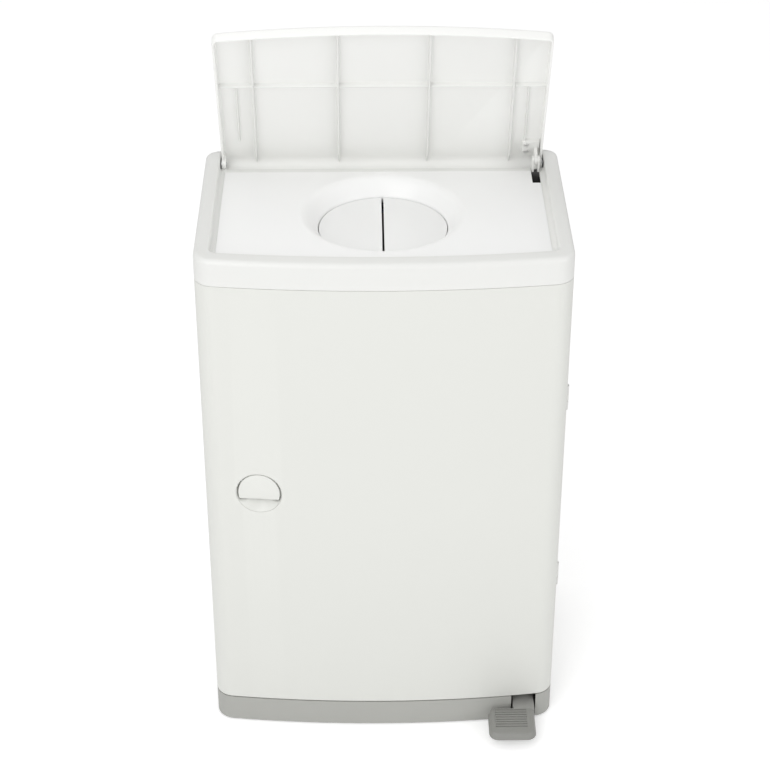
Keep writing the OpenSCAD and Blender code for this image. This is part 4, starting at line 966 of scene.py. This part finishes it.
def paddle_ring(radius, depth, flat):
    """D-shaped ring: a circle cut straight across below, with a small rounding at both lower corners."""
    corner = math.asin(flat / radius)
    squeeze = PADDLE_WIDE / PADDLE
    ring = []
    for i in range(73):
        turn = corner + (math.pi - 2 * corner) * i / 72
        ring.append(at_handle @ Vector((radius * squeeze * math.cos(turn), depth, radius * math.sin(turn))))
    edge_x = radius * squeeze * math.cos(corner)
    for i in range(1, 12):
        ring.append(at_handle @ Vector((edge_x * (i / 6 - 1), depth, flat)))
    return ring


paddle_rings = [paddle_ring(PADDLE - 0.0008, PADDLE_THICK, PADDLE_FLAT + 0.0006),
                paddle_ring(PADDLE, PADDLE_THICK - 0.0005, PADDLE_FLAT),
                paddle_ring(PADDLE, 0.0007, PADDLE_FLAT),
                paddle_ring(PADDLE - 0.0002, 0.0002, PADDLE_FLAT + 0.0002),
                paddle_ring(PADDLE - 0.0007, 0.0, PADDLE_FLAT + 0.0007)]
paddle_plate = loft("paddle_plate", paddle_rings, ends=True)


def round_bar(name, along, low, high, centre, radius):
    """A round bar in the handle's own frame, along X or Y."""
    rings = []
    for reach in (low, high):
        around = circle(*centre, radius, 32)
        local = [(reach, a, b) if along == "x" else (a, reach, b) for a, b in around]
        rings.append([at_handle @ Vector(place) for place in local])
    return loft(name, rings, ends=True)


PADDLE_BORE = 0.00131
paddle_parts = [paddle_plate]
for x_low in (-0.010, 0.0075):
    ear = round_bar("paddle_ear", "x", x_low, x_low + 0.0025, PADDLE_PIN, 0.0024)
    cut_away(ear, round_bar("ear_bore", "x", x_low - 0.001, x_low + 0.0035, PADDLE_PIN, PADDLE_BORE))
    paddle_parts.append(ear)
tail = box_mesh("paddle_tail", (-0.0055, 0.0013, 0.0095), (-0.0005, 0.013, 0.0145))
tail.data.transform(at_handle)
cut_away(tail, round_bar("tail_bore", "x", -0.007, 0.001, PADDLE_PIN, PADDLE_BORE))
paddle_parts.append(tail)
paddle_parts.append(round_bar("paddle_finger", "y", 0.0125, 0.0225, (-0.003, 0.012), 0.002))
paddle_piece = join(paddle_parts, "paddle_piece")
smooth(paddle_piece)
paddle_piece.data.materials.append(handle_white)
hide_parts("handle_paddle")
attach(paddle_piece, "paddle")
finish_with(casing_white, "latch_housing", "film_cutter")
finish_with(zinc, "latch_bolt", "latch_spring", "paddle_pin", "housing_screws", "cutter_blade")

# ---------------------------------------------------------------------------
# Studio: a plain white floor, soft even light with its main lamp high at the front left, and the camera
# where the photograph was taken from.
# ---------------------------------------------------------------------------

floor_mesh = bpy.data.meshes.new("floor")
REACH = 6
floor_corners = [(-REACH, -REACH, 0), (REACH, -REACH, 0), (REACH, REACH, 0), (-REACH, REACH, 0)]
floor_mesh.from_pydata(floor_corners, [], [(0, 1, 2, 3)])
floor = bpy.data.objects.new("floor", floor_mesh)
bpy.context.scene.collection.objects.link(floor)
floor_paper = bpy.data.materials.new("white_paper")
floor_paper.use_nodes = True
paper = floor_paper.node_tree
paper_shader = paper.nodes["Principled BSDF"]
paper_shader.inputs["Base Color"].default_value = (0.93, 0.93, 0.93, 1)
paper_shader.inputs["Roughness"].default_value = 0.9
paper_shader.inputs["Specular IOR Level"].default_value = 0.1
paper_shader.inputs["Emission Color"].default_value = (1, 1, 1, 1)
rays = paper.nodes.new("ShaderNodeLightPath")
seen = paper.nodes.new("ShaderNodeMath")
seen.operation = "MULTIPLY"
seen.inputs[1].default_value = 0.33
paper.links.new(rays.outputs["Is Camera Ray"], seen.inputs[0])
paper.links.new(seen.outputs["Value"], paper_shader.inputs["Emission Strength"])
floor_mesh.materials.append(floor_paper)

world = bpy.data.worlds.new("studio")
bpy.context.scene.world = world
world.use_nodes = True
sky = world.node_tree
plain = sky.nodes["Background"]
plain.inputs["Color"].default_value = (1, 1, 1, 1)
plain.inputs["Strength"].default_value = 0.61
behind = sky.nodes.new("ShaderNodeBackground")
behind.inputs["Color"].default_value = (1, 1, 1, 1)
behind.inputs["Strength"].default_value = 1.0
ray_kind = sky.nodes.new("ShaderNodeLightPath")
mixed = sky.nodes.new("ShaderNodeMixShader")
sky.links.new(ray_kind.outputs["Is Camera Ray"], mixed.inputs["Fac"])
sky.links.new(plain.outputs["Background"], mixed.inputs[1])
sky.links.new(behind.outputs["Background"], mixed.inputs[2])
sky.links.new(mixed.outputs["Shader"], sky.nodes["World Output"].inputs["Surface"])


def soft_lamp(name, place, aim, size, power):
    light = bpy.data.lights.new(name, "AREA")
    light.shape = "SQUARE"
    light.size = size
    light.energy = power
    lamp = bpy.data.objects.new(name, light)
    bpy.context.scene.collection.objects.link(lamp)
    lamp.location = place
    lamp.rotation_euler = (Vector(aim) - Vector(place)).to_track_quat("-Z", "Y").to_euler()


soft_lamp("main_lamp", (-1.2, -1.9, 2.2), (0, 0, 0.3), 1.8, 22)
soft_lamp("front_lamp", (-1.3, -2.6, 0.7), (0, 0, 0.3), 1.8, 10)
soft_lamp("fill_lamp", (2.0, -1.6, 1.2), (0, 0, 0.3), 1.6, 13)
soft_lamp("top_lamp", (-0.5, 0.2, 2.8), (0, 0, 0.5), 1.8, 8)

PHOTO_WIDTH_PX = 770
CAMERA_PLACE = Vector((-0.0189, -1.64775, 1.4034))
view = bpy.data.cameras.new("camera")
view.sensor_width = 36.0
view.lens = 94.84
view.shift_x = 1.0 / PHOTO_WIDTH_PX
view.clip_start = 0.05
camera = bpy.data.objects.new("camera", view)
bpy.context.scene.collection.objects.link(camera)
right = Vector((0.99993, -0.01187, 0.0))
forward = Vector((0.00999, 0.84205, -0.5393)).normalized()
up = right.cross(forward)
camera.matrix_world = Matrix((
    (right.x, up.x, -forward.x, CAMERA_PLACE.x),
    (right.y, up.y, -forward.y, CAMERA_PLACE.y),
    (right.z, up.z, -forward.z, CAMERA_PLACE.z),
    (0, 0, 0, 1)))
bpy.context.scene.camera = camera
bpy.context.scene.view_settings.view_transform = "Standard"
